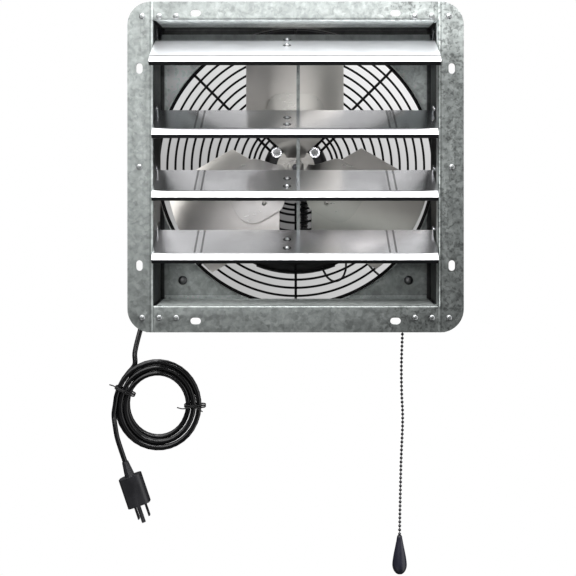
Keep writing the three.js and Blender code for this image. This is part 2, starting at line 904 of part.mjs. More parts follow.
function motorBolt() {
  const washerRear = armDepth - spokeWire - seatGap;
  const washerFront = washerRear - washerThickness;
  const nutFront = washerFront - nutThickness;
  return join(
    rod("y", motorBoltRadius, nutFront - motorBoltRadius, motorRear + seatGap + weldSink),
    rod("y", washerRadius, washerFront, washerRear, smallFacets + 4),
    rod("y", nutAcrossCorners, nutFront, washerFront + weldSink, 6),
    rod("y", boltHeadRadius, motorRear + seatGap, motorRear + seatGap + boltHeadHeight, 6),
  );
}

add("motor_front_bell", frontBell(), blackPaint);
add("motor_stator", stator(), laminated);
add("motor_rear_bell", rearBell(), blackPaint);
cornerSigns.forEach(([right, up], index) => {
  const bolt = add(`motor_bolt_${index + 1}`, motorBolt(), zincSteel);
  bolt.position.set(right * motorBoltX, 0, up * motorBoltZ);
});

// Motor lead: a ribbed sleeve from the stator's outlet down to the junction box
function motorLead() {
  const top = -leadBossDrop - seatGap;
  const bottom = boxTop + seatGap;
  const ribs = Math.floor((top - bottom - 2 * leadRibPitch) / leadRibPitch);
  const outline = [[0, bottom], [leadRadius, bottom]];
  for (let i = 0; i <= ribs; i++) {
    const place = bottom + leadRibPitch * (i + 1);
    outline.push([leadRadius, place], [leadRadius + leadRib, place + leadRibPitch / 2]);
  }
  outline.push([leadRadius, top - leadRibPitch / 2], [leadRadius, top], [0, top]);
  return turned(outline, smallFacets).rotateX(Math.PI / 2);
}

const lead = add("motor_lead", motorLead(), cordJacket);
lead.position.set(leadX, leadDepth, 0);

// Junction box: open at the rear, with a bottom that follows a ring of the guard, and a lid
function boxShape(inset) {
  const radius = boxArcRadius - inset;
  const half = boxFaceHalf - inset;
  const top = boxTop - inset;
  const end = Math.acos(half / radius);
  const corner = boxCornerRadius - inset / 2;
  const shape = new THREE.Shape();
  shape.moveTo(half, top - corner);
  shape.absarc(half - corner, top - corner, corner, 0, Math.PI / 2, false);
  shape.absarc(-half + corner, top - corner, corner, Math.PI / 2, Math.PI, false);
  shape.absarc(0, 0, radius, -Math.PI + end, -end, false);
  shape.lineTo(half, top - corner);
  return shape;
}

function junctionBox() {
  const rear = boxFront + boxDepth;
  const shell = alongY(boxShape(0), boxFront, rear, boxSteps);
  const hollow = alongY(boxShape(boxWall), boxFront + boxWall, rear + overrun, boxSteps);
  return cut(shell, hollow);
}

function junctionLid() {
  const front = boxFront + boxDepth + seatGap;
  const skirt = alongY(boxShape(boxWall + seatGap), front - lidSkirt - seatGap, front + weldSink, boxSteps);
  const skirtHollow = alongY(boxShape(2 * boxWall + seatGap), front - 2 * lidSkirt, front, boxSteps);
  return join(alongY(boxShape(0), front, front + lidThickness, boxSteps), cut(skirt, skirtHollow));
}

add("junction_box", junctionBox(), blackPaint);
add("junction_box_lid", junctionLid(), blackPaint);

// Strain relief: a flange on the box wall and a tapered sleeve with grip rings
function cordGland() {
  const outline = [[0, 0], [glandFlangeRadius, 0], [glandFlangeRadius, glandFlange], [glandRoot, glandFlange]];
  const step = (glandLength - glandFlange) / (glandRings + 0.5);
  for (let i = 0; i < glandRings; i++) {
    const place = glandFlange + step * (i + 0.5);
    const radius = THREE.MathUtils.lerp(glandRoot, glandTip, (i + 0.5) / glandRings);
    outline.push([radius, place], [radius - glandRingDepth, place + step / 4], [radius, place + step / 2]);
  }
  outline.push([glandTip, glandLength], [0, glandLength]);
  return turned(outline, cordSides).rotateZ(Math.PI / 2);
}

const gland = add("cord_gland", cordGland(), blackPlastic);
gland.position.set(-boxFaceHalf - seatGap, glandDepth, glandZ);

// Mains lead: a free run, one coil that spirals in and out again in two layers, and a tail to the plug
function coilPoint(turns) {
  const middle = coilTurns / 2;
  const radius = coilOuter - coilPitch * (middle - Math.abs(turns - middle));
  const angle = degrees(coilStart) + turn * turns;
  const climb = THREE.MathUtils.smoothstep(turns, middle - climbTurns / 2, middle + climbTurns / 2);
  return new THREE.Vector3(
    coilCentre[0] + radius * Math.cos(angle),
    coilCentre[1] + coilLayer * (0.5 - climb),
    coilCentre[2] + coilTall * radius * Math.sin(angle),
  );
}

function coilRoute() {
  const count = Math.round(coilTurns * coilSteps);
  const route = [];
  for (let i = 0; i <= count; i++) route.push(coilPoint((coilTurns * i) / count));
  const first = route[0].clone().sub(route[1]).setLength(2 * cordRadius).add(route[0]);
  const last = route.at(-1).clone().sub(route.at(-2)).setLength(2 * cordRadius).add(route.at(-1));
  return [first, ...route, last];
}

const coil = coilRoute();

function leastCoilGap() {
  let least = Infinity;
  for (let i = 0; i < coil.length; i++)
    for (let k = i + coilSteps / 2; k < coil.length; k++) least = Math.min(least, coil[i].distanceTo(coil[k]));
  return least - 2 * cordRadius;
}

function faceStep(end, before) {
  return end.clone().add(end.clone().sub(before).setLength(seatGap));
}

const leadMeet = faceStep(coil[0], coil[1]);
const leadBefore = faceStep(leadMeet, coil[1]).add(coil[0].clone().sub(coil[1]).setLength(2 * cordRadius));
const leadPoints = [...vectors(leadRoute), leadBefore, leadMeet];
const tailMeet = faceStep(coil.at(-1), coil.at(-2));
const tailAfter = faceStep(tailMeet, coil.at(-2)).add(coil.at(-1).clone().sub(coil.at(-2)).setLength(2 * cordRadius));
const tailPoints = [tailMeet, tailAfter, ...vectors(tailRoute)];

add("power_cord_lead", softTube(leadPoints, cordRadius, cordSides, leadSteps), cordJacket);
add("power_cord_coil", wire(coil, cordRadius, coilSides), cordJacket);
add("power_cord_tail", softTube(tailPoints, cordRadius, cordSides, tailSteps), cordJacket);

const lengthOf = (points) => new THREE.CatmullRomCurve3(points, false, "centripetal").getLength();
console.log(
  "least gap of the coil to itself", leastCoilGap().toFixed(2),
  "lengths of lead, coil and tail", [leadPoints, coil, tailPoints].map(lengthOf).map(Math.round),
);

// Ties: a band round all the turns at two places
function cordTie(angle) {
  const innerRadius = coilOuter - coilPitch * (coilTurns / 2);
  const reach = (coilOuter - innerRadius) / 2 + cordRadius + tieClearance;
  const rise = coilLayer / 2 + cordRadius + tieClearance;
  const outer = roundedRectangle(reach + tieThickness, rise + tieThickness, cordRadius + tieThickness);
  outer.holes.push(roundedRectangle(reach, rise, cordRadius));
  const band = new THREE.ExtrudeGeometry(outer, { depth: tieWidth, bevelEnabled: false, curveSegments: bendSteps });
  const stretch = Math.hypot(Math.cos(angle), coilTall * Math.sin(angle));
  const middle = ((coilOuter + innerRadius) / 2) * stretch;
  const lean = Math.atan2(coilTall * Math.sin(angle), Math.cos(angle));
  return band.translate(middle, 0, -tieWidth / 2).rotateY(-lean)
    .translate(...coilCentre);
}

tieAngles.forEach((angle, index) => add(`cord_tie_${index + 1}`, cordTie(degrees(angle)), blackPlastic));

// Plug: a tapered sleeve, a moulded body and three pins, along the cord's last direction
function plug() {
  const relief = rod("z", plugReliefRoot, 0, plugReliefLength, cordSides + 2, plugReliefTip);
  const body = alongZ(roundedRectangle(plugWidth / 2, plugThickness / 2, plugCorner), -plugLength, weldSink);
  const blades = [-1, 1].map((side) =>
    new THREE.BoxGeometry(prongThickness, prongWidth, prongLength + overrun)
      .translate(side * prongSpread, plugThickness / 8, -plugLength - prongLength / 2 + overrun / 2),
  );
  const pin = rod("z", groundPinRadius, -plugLength - groundPinLength, -plugLength + overrun)
    .translate(0, -groundPinDrop, 0);
  return join(relief, body, ...blades, pin);
}

const tailEnd = tailPoints.at(-1);
const plugDown = tailEnd.clone().sub(tailPoints.at(-2)).normalize();
const plugMesh = add("plug_body", plug(), blackPlastic);
plugMesh.quaternion.setFromUnitVectors(new THREE.Vector3(0, 0, -1), plugDown);
plugMesh.position.copy(tailEnd).addScaledVector(plugDown, plugReliefLength + seatGap);

// Pull-chain switch on a bracket at the plate's lower right corner
const bracketFront = plateRear + seatGap;
const switchFront = switchDepth - switchBodyDepth / 2;
const shelfTop = switchFoot - seatGap;

function switchBracket() {
  const half = switchBracketWidth / 2;
  const shelfEnd = switchDepth + switchBodyDepth / 2;
  const profile = new THREE.Shape();
  profile.moveTo(bracketFront, shelfTop - switchBracketSheet);
  profile.lineTo(shelfEnd, shelfTop - switchBracketSheet);
  profile.lineTo(shelfEnd, shelfTop);
  profile.lineTo(bracketFront + switchBracketSheet, shelfTop);
  profile.lineTo(bracketFront + switchBracketSheet, shelfTop + switchBracketRise);
  profile.lineTo(bracketFront, shelfTop + switchBracketRise);
  const hole = rod("z", bushRadius + runGap, shelfTop - switchBracketSheet - overrun, shelfTop + overrun, 12);
  return cut(alongX(profile, switchX - half, switchX + half), hole.translate(switchX, switchDepth, 0));
}

function switchBody() {
  const block = alongZ(
    roundedRectangle(switchBodyWidth / 2, switchBodyDepth / 2, plugCorner / 2), switchFoot, switchFoot + switchBodyHeight,
  );
  const bush = rod("z", bushRadius, switchFoot - bushLength, switchFoot + weldSink, 12);
  const bore = rod("z", bushBore, switchFoot - bushLength - overrun, switchFoot + boreRise);
  return cut(join(block, bush), bore).translate(switchX, switchDepth, 0);
}

function switchNut() {
  const top = shelfTop - switchBracketSheet - seatGap;
  const hex = rod("z", switchNutRadius, top - switchNutHeight, top, 6);
  const bell = rod("z", bushRadius + sheet, top - switchNutHeight - bellLength, top - switchNutHeight + weldSink, 12, bellRadius);
  const bore = rod("z", bushRadius + runGap, top - switchNutHeight - bellLength - overrun, top + overrun, 12);
  return cut(join(hex, bell), bore).translate(switchX, switchDepth, 0);
}

add("switch_bracket", switchBracket(), galvanised);
add("switch_body", switchBody(), blackPlastic);
add("switch_nut", switchNut(), zincSteel);
add("switch_lead", softTube(vectors(switchLeadRoute), switchLeadRadius, coilSides, switchLeadSteps), cordJacket);

// Pull chain and its teardrop knob
const chainTop = new THREE.Vector3(switchX, switchDepth, switchFoot + chainTopRise);
const chainPoints = [chainTop, ...vectors(chainRoute)];

function pullKnob() {
  const outline = [];
  const steps = 12;
  for (let i = 0; i <= steps; i++) {
    const share = i / steps;
    const swell = share < knobWidestShare
      ? THREE.MathUtils.smoothstep(share, 0, knobWidestShare)
      : Math.sqrt(Math.max(0, 1 - ((share - knobWidestShare) / (1 - knobWidestShare)) ** 2));
    const neck = share < knobWidestShare ? knobNeck : 0;
    const radius = i === steps ? 0 : neck + (knobRadius - neck) * swell;
    outline.push([radius, -share * knobLength]);
  }
  outline.unshift([0, 0]);
  return turned(outline.reverse(), smallFacets + 6).rotateX(Math.PI / 2);
}

add("pull_chain", softTube(chainPoints, chainRadius, cordSides, chainSteps), darkPlated);
const knobMesh = add("pull_knob", pullKnob(), blackPlastic);
knobMesh.position.copy(chainPoints.at(-1));
knobMesh.position.z -= seatGap;

// Rotor: shaft, hub, spider and three pitched and cambered blades
function bladeDepthAt(across, along) {
  const twist = THREE.MathUtils.smoothstep(Math.hypot(across, along), twistStart, twistEnd);
  const camber = bladeCamber * (1 - (across / bladeHalfWidth) ** 2) * twist;
  return bladeMidDepth + across * Math.tan(degrees(bladePitch)) * twist - camber;
}

// A unit block whose first two axes follow the blade's surface and whose third is its thickness.
function onBlade(acrossSteps, alongSteps, placeAt, front, thickness) {
  const block = new THREE.BoxGeometry(1, 1, 1, acrossSteps, alongSteps, 1).translate(0.5, 0.5, 0.5);
  const places = block.getAttribute("position");
  for (let i = 0; i < places.count; i++) {
    const [across, along] = placeAt(places.getX(i), places.getY(i));
    const depth = bladeDepthAt(across, along) + front + thickness * (1 - places.getZ(i));
    places.setXYZ(i, across, depth, along);
  }
  return block;
}

function bladeSheet() {
  const slope = 1 / Math.tan(degrees(180 / bladeCount));
  const apex = bladeGapHalf / Math.sin(degrees(180 / bladeCount));
  const placeAt = (u, v) => {
    const across = bladeHalfWidth * (2 * u - 1);
    const inner = Math.max(apex + Math.abs(across) * slope, spiderDiscRadius + seatGap);
    const outer = Math.sqrt(bladeTipRadius ** 2 - across ** 2);
    return [across, THREE.MathUtils.lerp(inner, outer, v)];
  };
  return onBlade(8, 6, placeAt, 0, bladeThickness);
}

function spiderArm() {
  const placeAt = (u, v) => {
    const along = THREE.MathUtils.lerp(spiderDiscRadius / 2, spiderArmLength, v);
    const past = Math.max(0, along - spiderArmLength + spiderArmCorner) / spiderArmCorner;
    const round = spiderArmHalf - spiderArmCorner + spiderArmCorner * Math.sqrt(1 - Math.min(1, past) ** 2);
    const root = THREE.MathUtils.lerp(spiderDiscRadius / 2, spiderArmHalf, THREE.MathUtils.smoothstep(v, 0, 0.4));
    return [Math.min(round, root) * (2 * u - 1), along];
  };
  return onBlade(4, 8, placeAt, -spiderThickness - bladeSeat, spiderThickness);
}

function bladeRivet(side) {
  const across = side * bladeRivetSpread;
  const front = bladeDepthAt(across, bladeRivetPlace) - bladeSeat - spiderThickness;
  return turned(
    [[0, -rivetHeight], [rivetRadius * 0.6, -rivetHeight], [rivetRadius, 0], [rivetRadius, weldSink], [0, weldSink]],
    smallFacets,
  ).translate(across, front, bladeRivetPlace);
}

function bladeSpider() {
  const discRear = bladeMidDepth - seatGap;
  const disc = rod("y", spiderDiscRadius, discRear - spiderThickness, discRear, bodyFacets);
  const arms = Array.from({ length: bladeCount }, (unused, index) =>
    join(spiderArm(), bladeRivet(-1), bladeRivet(1)).rotateY((turn * index) / bladeCount),
  );
  return cut(join(disc, ...arms), rod("y", hubRadius + seatGap, discRear - spiderThickness - overrun, discRear + overrun, 16));
}

function fanHub() {
  const front = bladeMidDepth - seatGap - spiderThickness - hubNose;
  const flangeFront = bladeMidDepth;
  const outline = [
    [shaftRadius + seatGap, front],
    [hubRadius - sheet, front],
    [hubRadius, front + sheet],
    [hubRadius, flangeFront],
    [hubCollarRadius, flangeFront],
    [hubCollarRadius, flangeFront + hubCollarLength],
    [shaftRadius + seatGap, flangeFront + hubCollarLength],
    [shaftRadius + seatGap, front],
  ];
  const screwZ = rod("z", hubScrewRadius + seatGap, shaftRadius, hubCollarRadius + overrun)
    .translate(0, flangeFront + hubCollarLength / 2, 0);
  return cut(turned(outline, 20), screwZ);
}

const rotor = new THREE.Group();
fan.add(rotor);
const shaftFront = bladeMidDepth - seatGap - spiderThickness - hubNose - shaftNose;
const shaftRear = motorFront + bearingSeatDepth - seatGap;
add("motor_shaft", rod("y", shaftRadius, shaftFront, shaftRear, 16), zincSteel, rotor);
add("fan_hub", fanHub(), bladeMetal, rotor);
add(
  "hub_screw",
  rod("z", hubScrewRadius, shaftRadius + seatGap, hubCollarRadius + sheet)
    .translate(0, bladeMidDepth + hubCollarLength / 2, 0),
  blackPaint,
  rotor,
);
add("blade_spider", bladeSpider(), bladeMetal, rotor);
for (let index = 0; index < bladeCount; index++)
  add(`fan_blade_${index + 1}`, bladeSheet(), bladeMetal, rotor).rotation.y = (turn * index) / bladeCount;

// Slats: a flat sheet with a sloping front lip and a hem, an ear and a pivot pin at each end
function slatShape(backReach, frontReach) {
  const line = [new THREE.Vector2(backReach, -pivotHeight), new THREE.Vector2(-frontReach, -pivotHeight)];
  for (const [length, tilt] of [[lipLength, lipTilt], [hemLength, hemTilt]]) {
    const angle = degrees(tilt - restTilt);
    const from = line.at(-1);
    line.push(new THREE.Vector2(from.x - length * Math.cos(angle), from.y - length * Math.sin(angle)));
  }
  return thickened(line, sheet);
}

// A strip of even thickness on the lower side of an open line, with mitred corners.
function thickened(line, thickness) {
  const inner = line.map((point, index) => {
    const normals = [line[index - 1], line[index + 1]]
      .map((other, side) => other && other.clone().sub(point).multiplyScalar(side ? 1 : -1).normalize())
      .filter(Boolean)
      .map((along) => new THREE.Vector2(-along.y, along.x));
    const mitre = normals.reduce((sum, normal) => sum.add(normal), new THREE.Vector2()).normalize();
    return point.clone().addScaledVector(mitre, thickness / mitre.dot(normals[0]));
  });
  return new THREE.Shape([...line, ...inner.reverse()]);
}

function slatEar() {
  const foot = pivotEarRadius + sheet;
  const shape = new THREE.Shape();
  shape.moveTo(-foot, -pivotHeight - sheet / 2);
  shape.lineTo(foot - sheet, -pivotHeight - sheet / 2);
  shape.absarc(0, 0, pivotEarRadius, 0, Math.PI, false);
  return shape;
}

function slat(backReach, frontReach) {
  const half = slatLength / 2;
  const panel = alongX(slatShape(backReach, frontReach), -half, half);
  const right = join(
    alongX(slatEar(), half - sheet, half),
    rod("x", pivotPinRadius, half - weldSink, openingHalf + sheet + pivotPinReach - slatShift),
  );
  const left = join(
    alongX(slatEar(), -half, -half + sheet),
    rod("x", pivotPinRadius, -openingHalf - sheet - pivotPinReach - slatShift, -half + weldSink),
  );
  const rivets = [0, 1].map((place) =>
    turned(
      [[0, 0], [rivetRadius * 0.8, 0], [rivetRadius * 0.5, rivetHeight * 0.8], [0, rivetHeight * 0.8]],
      smallFacets,
    )
      .rotateX(Math.PI / 2)
      .translate(bracketX - slatShift, -bracketRivetPlace - place * bracketRivetPitch, -pivotHeight),
  );
  return join(panel, right, left, ...rivets).translate(slatShift, 0, 0);
}

// Slat bracket: a pad under the sheet, a cheek down to the crank pin, and the pin itself
const crankPin = new THREE.Vector2(crankRadius, 0).rotateAround(new THREE.Vector2(), degrees(crankAngle - restTilt));

function slatBracket() {
  const padTop = -pivotHeight - sheet - seatGap;
  const cheekRight = bracketX + bracketPadWidth / 2;
  const cheekLeft = cheekRight - bracketSheet;
  const pad = new THREE.BoxGeometry(bracketPadWidth, bracketPadBack + bracketPadFront, bracketSheet)
    .translate(bracketX, (bracketPadBack - bracketPadFront) / 2, padTop - bracketSheet / 2);
  const cheek = new THREE.Shape();
  cheek.moveTo(bracketPadBack, padTop);
  cheek.lineTo(-bracketCheekRoot, padTop);
  cheek.absarc(crankPin.x, crankPin.y, bracketLugRadius, -Math.PI, 0, false);
  const pinEnd = tieBarX + tieBarWidth / 2 + runGap;
  const pin = rod("x", tiePinRadius, cheekLeft + weldSink, pinEnd + bracketSheet, 8);
  const head = rod("x", 2 * tiePinRadius, pinEnd, pinEnd + bracketSheet, 8);
  return join(
    pad,
    alongX(cheek, cheekLeft, cheekRight),
    join(pin, head).translate(0, crankPin.x, crankPin.y),
  );
}

slatPivots.forEach((height, index) => {
  const hanging = new THREE.Group();
  hanging.position.set(0, slatPivotDepth, height);
  hanging.rotation.x = degrees(restTilt);
  fan.add(hanging);
  const panel = index === 0 ? slat(topSlatBackReach, topSlatFrontReach) : slat(slatBackReach, slatFrontReach);
  add(`slat_${index + 1}`, panel, polished, hanging);
  add(`slat_bracket_${index + 1}`, slatBracket(), zincSteel, hanging);
});

// Tie bar: one strip behind the slats, with a hole for each crank pin
function tieBar() {
  const depth = slatPivotDepth + crankRadius * Math.cos(degrees(crankAngle));
  const drop = crankRadius * Math.sin(degrees(crankAngle));
  const top = slatPivots[0] + drop + tieBarEnd;
  const bottom = slatPivots.at(-1) + drop - tieBarEnd;
  const strip = new THREE.BoxGeometry(tieBarWidth, tieBarDepth, top - bottom)
    .translate(tieBarX, depth, (top + bottom) / 2);
  const holes = slatPivots.map((height) =>
    rod("x", tiePinRadius + runGap, tieBarX - tieBarWidth, tieBarX + tieBarWidth).translate(0, depth, height + drop),
  );
  return cut(strip, ...holes);
}

add("tie_bar", tieBar(), galvanised);

// The origin lies on the wall side of the top flange, half way between its outer edge and the fan box.
const originHeight = (frameHeight / 2 + boxHalfHeight) / 2;
fan.position.set(0, -wallFace, -originHeight);

const shutterExhaustFan = new THREE.Group();
shutterExhaustFan.add(fan);

export default shutterExhaustFan;
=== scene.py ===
"""Shutter exhaust fan, seen square on from the front, hanging before a plain white ground."""

import math

import bmesh
import bpy
from mathutils import Matrix, Vector, noise


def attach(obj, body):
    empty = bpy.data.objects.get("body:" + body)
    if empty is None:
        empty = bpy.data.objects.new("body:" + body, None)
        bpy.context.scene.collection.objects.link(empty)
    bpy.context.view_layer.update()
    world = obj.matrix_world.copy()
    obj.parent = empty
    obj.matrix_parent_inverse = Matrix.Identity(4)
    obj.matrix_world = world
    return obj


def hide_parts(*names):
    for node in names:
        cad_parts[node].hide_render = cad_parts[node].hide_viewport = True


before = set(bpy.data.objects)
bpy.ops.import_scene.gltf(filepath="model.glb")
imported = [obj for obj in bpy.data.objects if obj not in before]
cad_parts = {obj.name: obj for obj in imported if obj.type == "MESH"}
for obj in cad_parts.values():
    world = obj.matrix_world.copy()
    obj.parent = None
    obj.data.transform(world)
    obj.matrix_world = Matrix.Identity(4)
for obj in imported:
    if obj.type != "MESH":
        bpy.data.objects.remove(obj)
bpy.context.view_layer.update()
scene = bpy.context.scene
collection = scene.collection

# Lengths below are millimetres from the middle of the front flange; mm() turns a place into the row frame.
ORIGIN = Vector((0.0, -1.9, -169.0))
MM = 0.001
TURN = 2 * math.pi


def mm(x, y, z):
    return (Vector((x, y, z)) + ORIGIN) * MM


def placed(points):
    return [mm(*point) for point in points]


# Camera: level with the middle of the shutter, which shows above the middle of the image
FOCAL_PX = 1150.0
IMAGE_PX = 576
AXIS_PX = (297.0, 172.0)
SENSOR = 36.0
EYE = (1.5, -1230.5, -5.35)
camera_data = bpy.data.cameras.new("camera")
camera_data.sensor_width = SENSOR
camera_data.lens = SENSOR * FOCAL_PX / IMAGE_PX
camera_data.shift_x = (IMAGE_PX / 2 - AXIS_PX[0]) / IMAGE_PX
camera_data.shift_y = (AXIS_PX[1] - IMAGE_PX / 2) / IMAGE_PX
camera = bpy.data.objects.new("camera", camera_data)
camera.location = mm(*EYE)
camera.rotation_euler = (math.radians(90), 0, 0)
collection.objects.link(camera)
scene.camera = camera
scene.render.resolution_x = IMAGE_PX
scene.render.resolution_y = IMAGE_PX
scene.view_settings.view_transform = "Standard"


# Node helpers, for the finishes and the world
class Nodes:
    """Adds nodes to a tree. A value is another node's output or a plain number."""

    def __init__(self, tree):
        self.tree = tree

    def add(self, kind, operation=None):
        made = self.tree.nodes.new("ShaderNode" + kind)
        if operation:
            made.operation = operation
        return made

    def join(self, output, socket):
        self.tree.links.new(output, socket)

    def axes(self, place):
        made = self.add("SeparateXYZ")
        self.join(place, made.inputs[0])
        return tuple(made.outputs)

    def math(self, operation, *values):
        """One value, two, or more that are taken in turn from the left."""
        made = self.add("Math", operation)
        for socket, value in zip(made.inputs, values[:2]):
            if isinstance(value, (int, float)):
                socket.default_value = value
            else:
                self.join(value, socket)
        if len(values) > 2:
            return self.math(operation, made.outputs[0], *values[2:])
        return made.outputs[0]

    def plus(self, *values):
        return self.math("ADD", *values)

    def minus(self, first, second):
        return self.math("SUBTRACT", first, second)

    def times(self, *values):
        return self.math("MULTIPLY", *values)

    def largest(self, first, second):
        return self.math("MAXIMUM", first, second)

    def over(self, value, limit):
        return self.math("GREATER_THAN", value, limit)

    def under(self, value, limit):
        return self.math("LESS_THAN", value, limit)

    def between(self, value, low, high):
        return self.times(self.over(value, low), self.under(value, high))

    def near(self, value, place, reach):
        return self.under(self.math("ABSOLUTE", self.minus(value, place)), reach)

    def distance(self, first, second):
        return self.math("SQRT", self.plus(self.times(first, first), self.times(second, second)))

    def inside(self, mask, value):
        """The value where a mask is 1, and 1 where it is 0."""
        return self.plus(self.times(mask, value), self.minus(1.0, mask))

    def mapped(self, value, start, end, low, high, easing="LINEAR"):
        made = self.add("MapRange")
        made.interpolation_type = easing
        for socket, number in zip(made.inputs[1:5], (start, end, low, high)):
            socket.default_value = number
        self.join(value, made.inputs[0])
        return made.outputs[0]

    def eased(self, value, start, end, low, high):
        return self.mapped(value, start, end, low, high, "SMOOTHSTEP")

    def ramp(self, fac, stops):
        made = self.add("ValToRGB")
        elements = made.color_ramp.elements
        while len(elements) < len(stops):
            elements.new(0.5)
        for element, (place, colour) in zip(elements, stops):
            element.position = place
            element.color = (*colour, 1)
        self.join(fac, made.inputs[0])
        return made.outputs[0]

    def levels(self, value, start, end, stops):
        """Grey levels at places between start and end."""
        share = self.mapped(value, start, end, 0.0, 1.0)
        wide = end - start
        return self.ramp(share, [((at - start) / wide, (level, level, level)) for at, level in stops])


class Finish(Nodes):
    """A node material. Its texture places are the row frame's own, in metres."""

    def __init__(self, name, base, metallic, roughness):
        self.material = bpy.data.materials.new(name)
        self.material.use_nodes = True
        super().__init__(self.material.node_tree)
        self.shader = self.tree.nodes["Principled BSDF"]
        self.shader.inputs["Base Color"].default_value = (*base, 1)
        self.shader.inputs["Metallic"].default_value = metallic
        self.shader.inputs["Roughness"].default_value = roughness
        self.place = self.add("TexCoord").outputs["Object"]
        self.height = None

    def noise(self, scale, detail=4.0, stretch=None, distortion=0.0):
        place = self.place
        if stretch is not None:
            stretched = self.add("VectorMath", "MULTIPLY")
            stretched.inputs[1].default_value = stretch
            self.join(place, stretched.inputs[0])
            place = stretched.outputs[0]
        made = self.add("TexNoise")
        made.inputs["Scale"].default_value = scale
        made.inputs["Detail"].default_value = detail
        made.inputs["Distortion"].default_value = distortion
        self.join(place, made.inputs["Vector"])
        return made.outputs["Fac"]

    def cells(self, scale, warp, warp_scale):
        """Cells of random levels, with edges that wander."""
        wobble = self.add("TexNoise")
        wobble.inputs["Scale"].default_value = warp_scale
        self.join(self.place, wobble.inputs["Vector"])
        scaled = self.add("VectorMath", "SCALE")
        scaled.inputs["Scale"].default_value = warp
        self.join(wobble.outputs["Color"], scaled.inputs[0])
        moved = self.add("VectorMath", "ADD")
        self.join(self.place, moved.inputs[0])
        self.join(scaled.outputs[0], moved.inputs[1])
        made = self.add("TexVoronoi")
        made.inputs["Scale"].default_value = scale
        self.join(moved.outputs[0], made.inputs["Vector"])
        split = self.add("SeparateColor")
        self.join(made.outputs["Color"], split.inputs[0])
        return split.outputs[0]

    def mix(self, first, second, share):
        made = self.add("Mix")
        made.data_type = "FLOAT"
        made.inputs[0].default_value = share
        self.join(first, made.inputs[2])
        self.join(second, made.inputs[3])
        return made.outputs[0]

    def dimmed(self, colour, share):
        made = self.add("VectorMath", "SCALE")
        self.join(colour, made.inputs[0])
        self.join(share, made.inputs["Scale"])
        return made.outputs[0]

    def set(self, name, output):
        self.join(output, self.shader.inputs[name])

    def rough(self, fac, low, high):
        self.set("Roughness", self.mapped(fac, 0.0, 1.0, low, high))

    def bump(self, fac, depth_mm, strength):
        made = self.add("Bump")
        made.inputs["Strength"].default_value = strength
        made.inputs["Distance"].default_value = depth_mm * MM
        self.join(fac, made.inputs["Height"])
        if self.height is not None:
            self.join(self.height, made.inputs["Normal"])
        self.height = made.outputs["Normal"]
        self.set("Normal", self.height)


# Finishes. Places on the sheet metal are metres in the row frame; the places below carry painted light and
# shade.
LEVEL_TOP, LEVEL_BOTTOM, LEVEL_HALF = -0.0135, -0.3145, 0.149
STRIP_X, STRIP_DEPTH, BOX_DEPTH = 0.1495, 0.014, 0.055
FOLD_HIGHLIGHT, DARK_LINE = (0.1524, 0.1543), (0.1552, 0.1562)
# Places of the slats' painted shade: hems, the top slat's fold and rear, two creases and rings round the
# rivets
TOP_SLAT, TOP_HEM = -0.075, -0.0603
SLAT_PITCH, HEM_TOP, HEM_TALL, HEM_FRONT = 0.066, -0.1349, 0.006, -0.018
TOP_FOLD, CREASES, CREASE_FRONT, LINE_HALF = -0.0402, (0.1, 0.107), -0.016, 0.0011
MARK_X, MARK_DEPTHS, MARK_REACH, MARK_SLOPE = -0.0092, (0.0136, -0.0058), 0.0045, 0.924


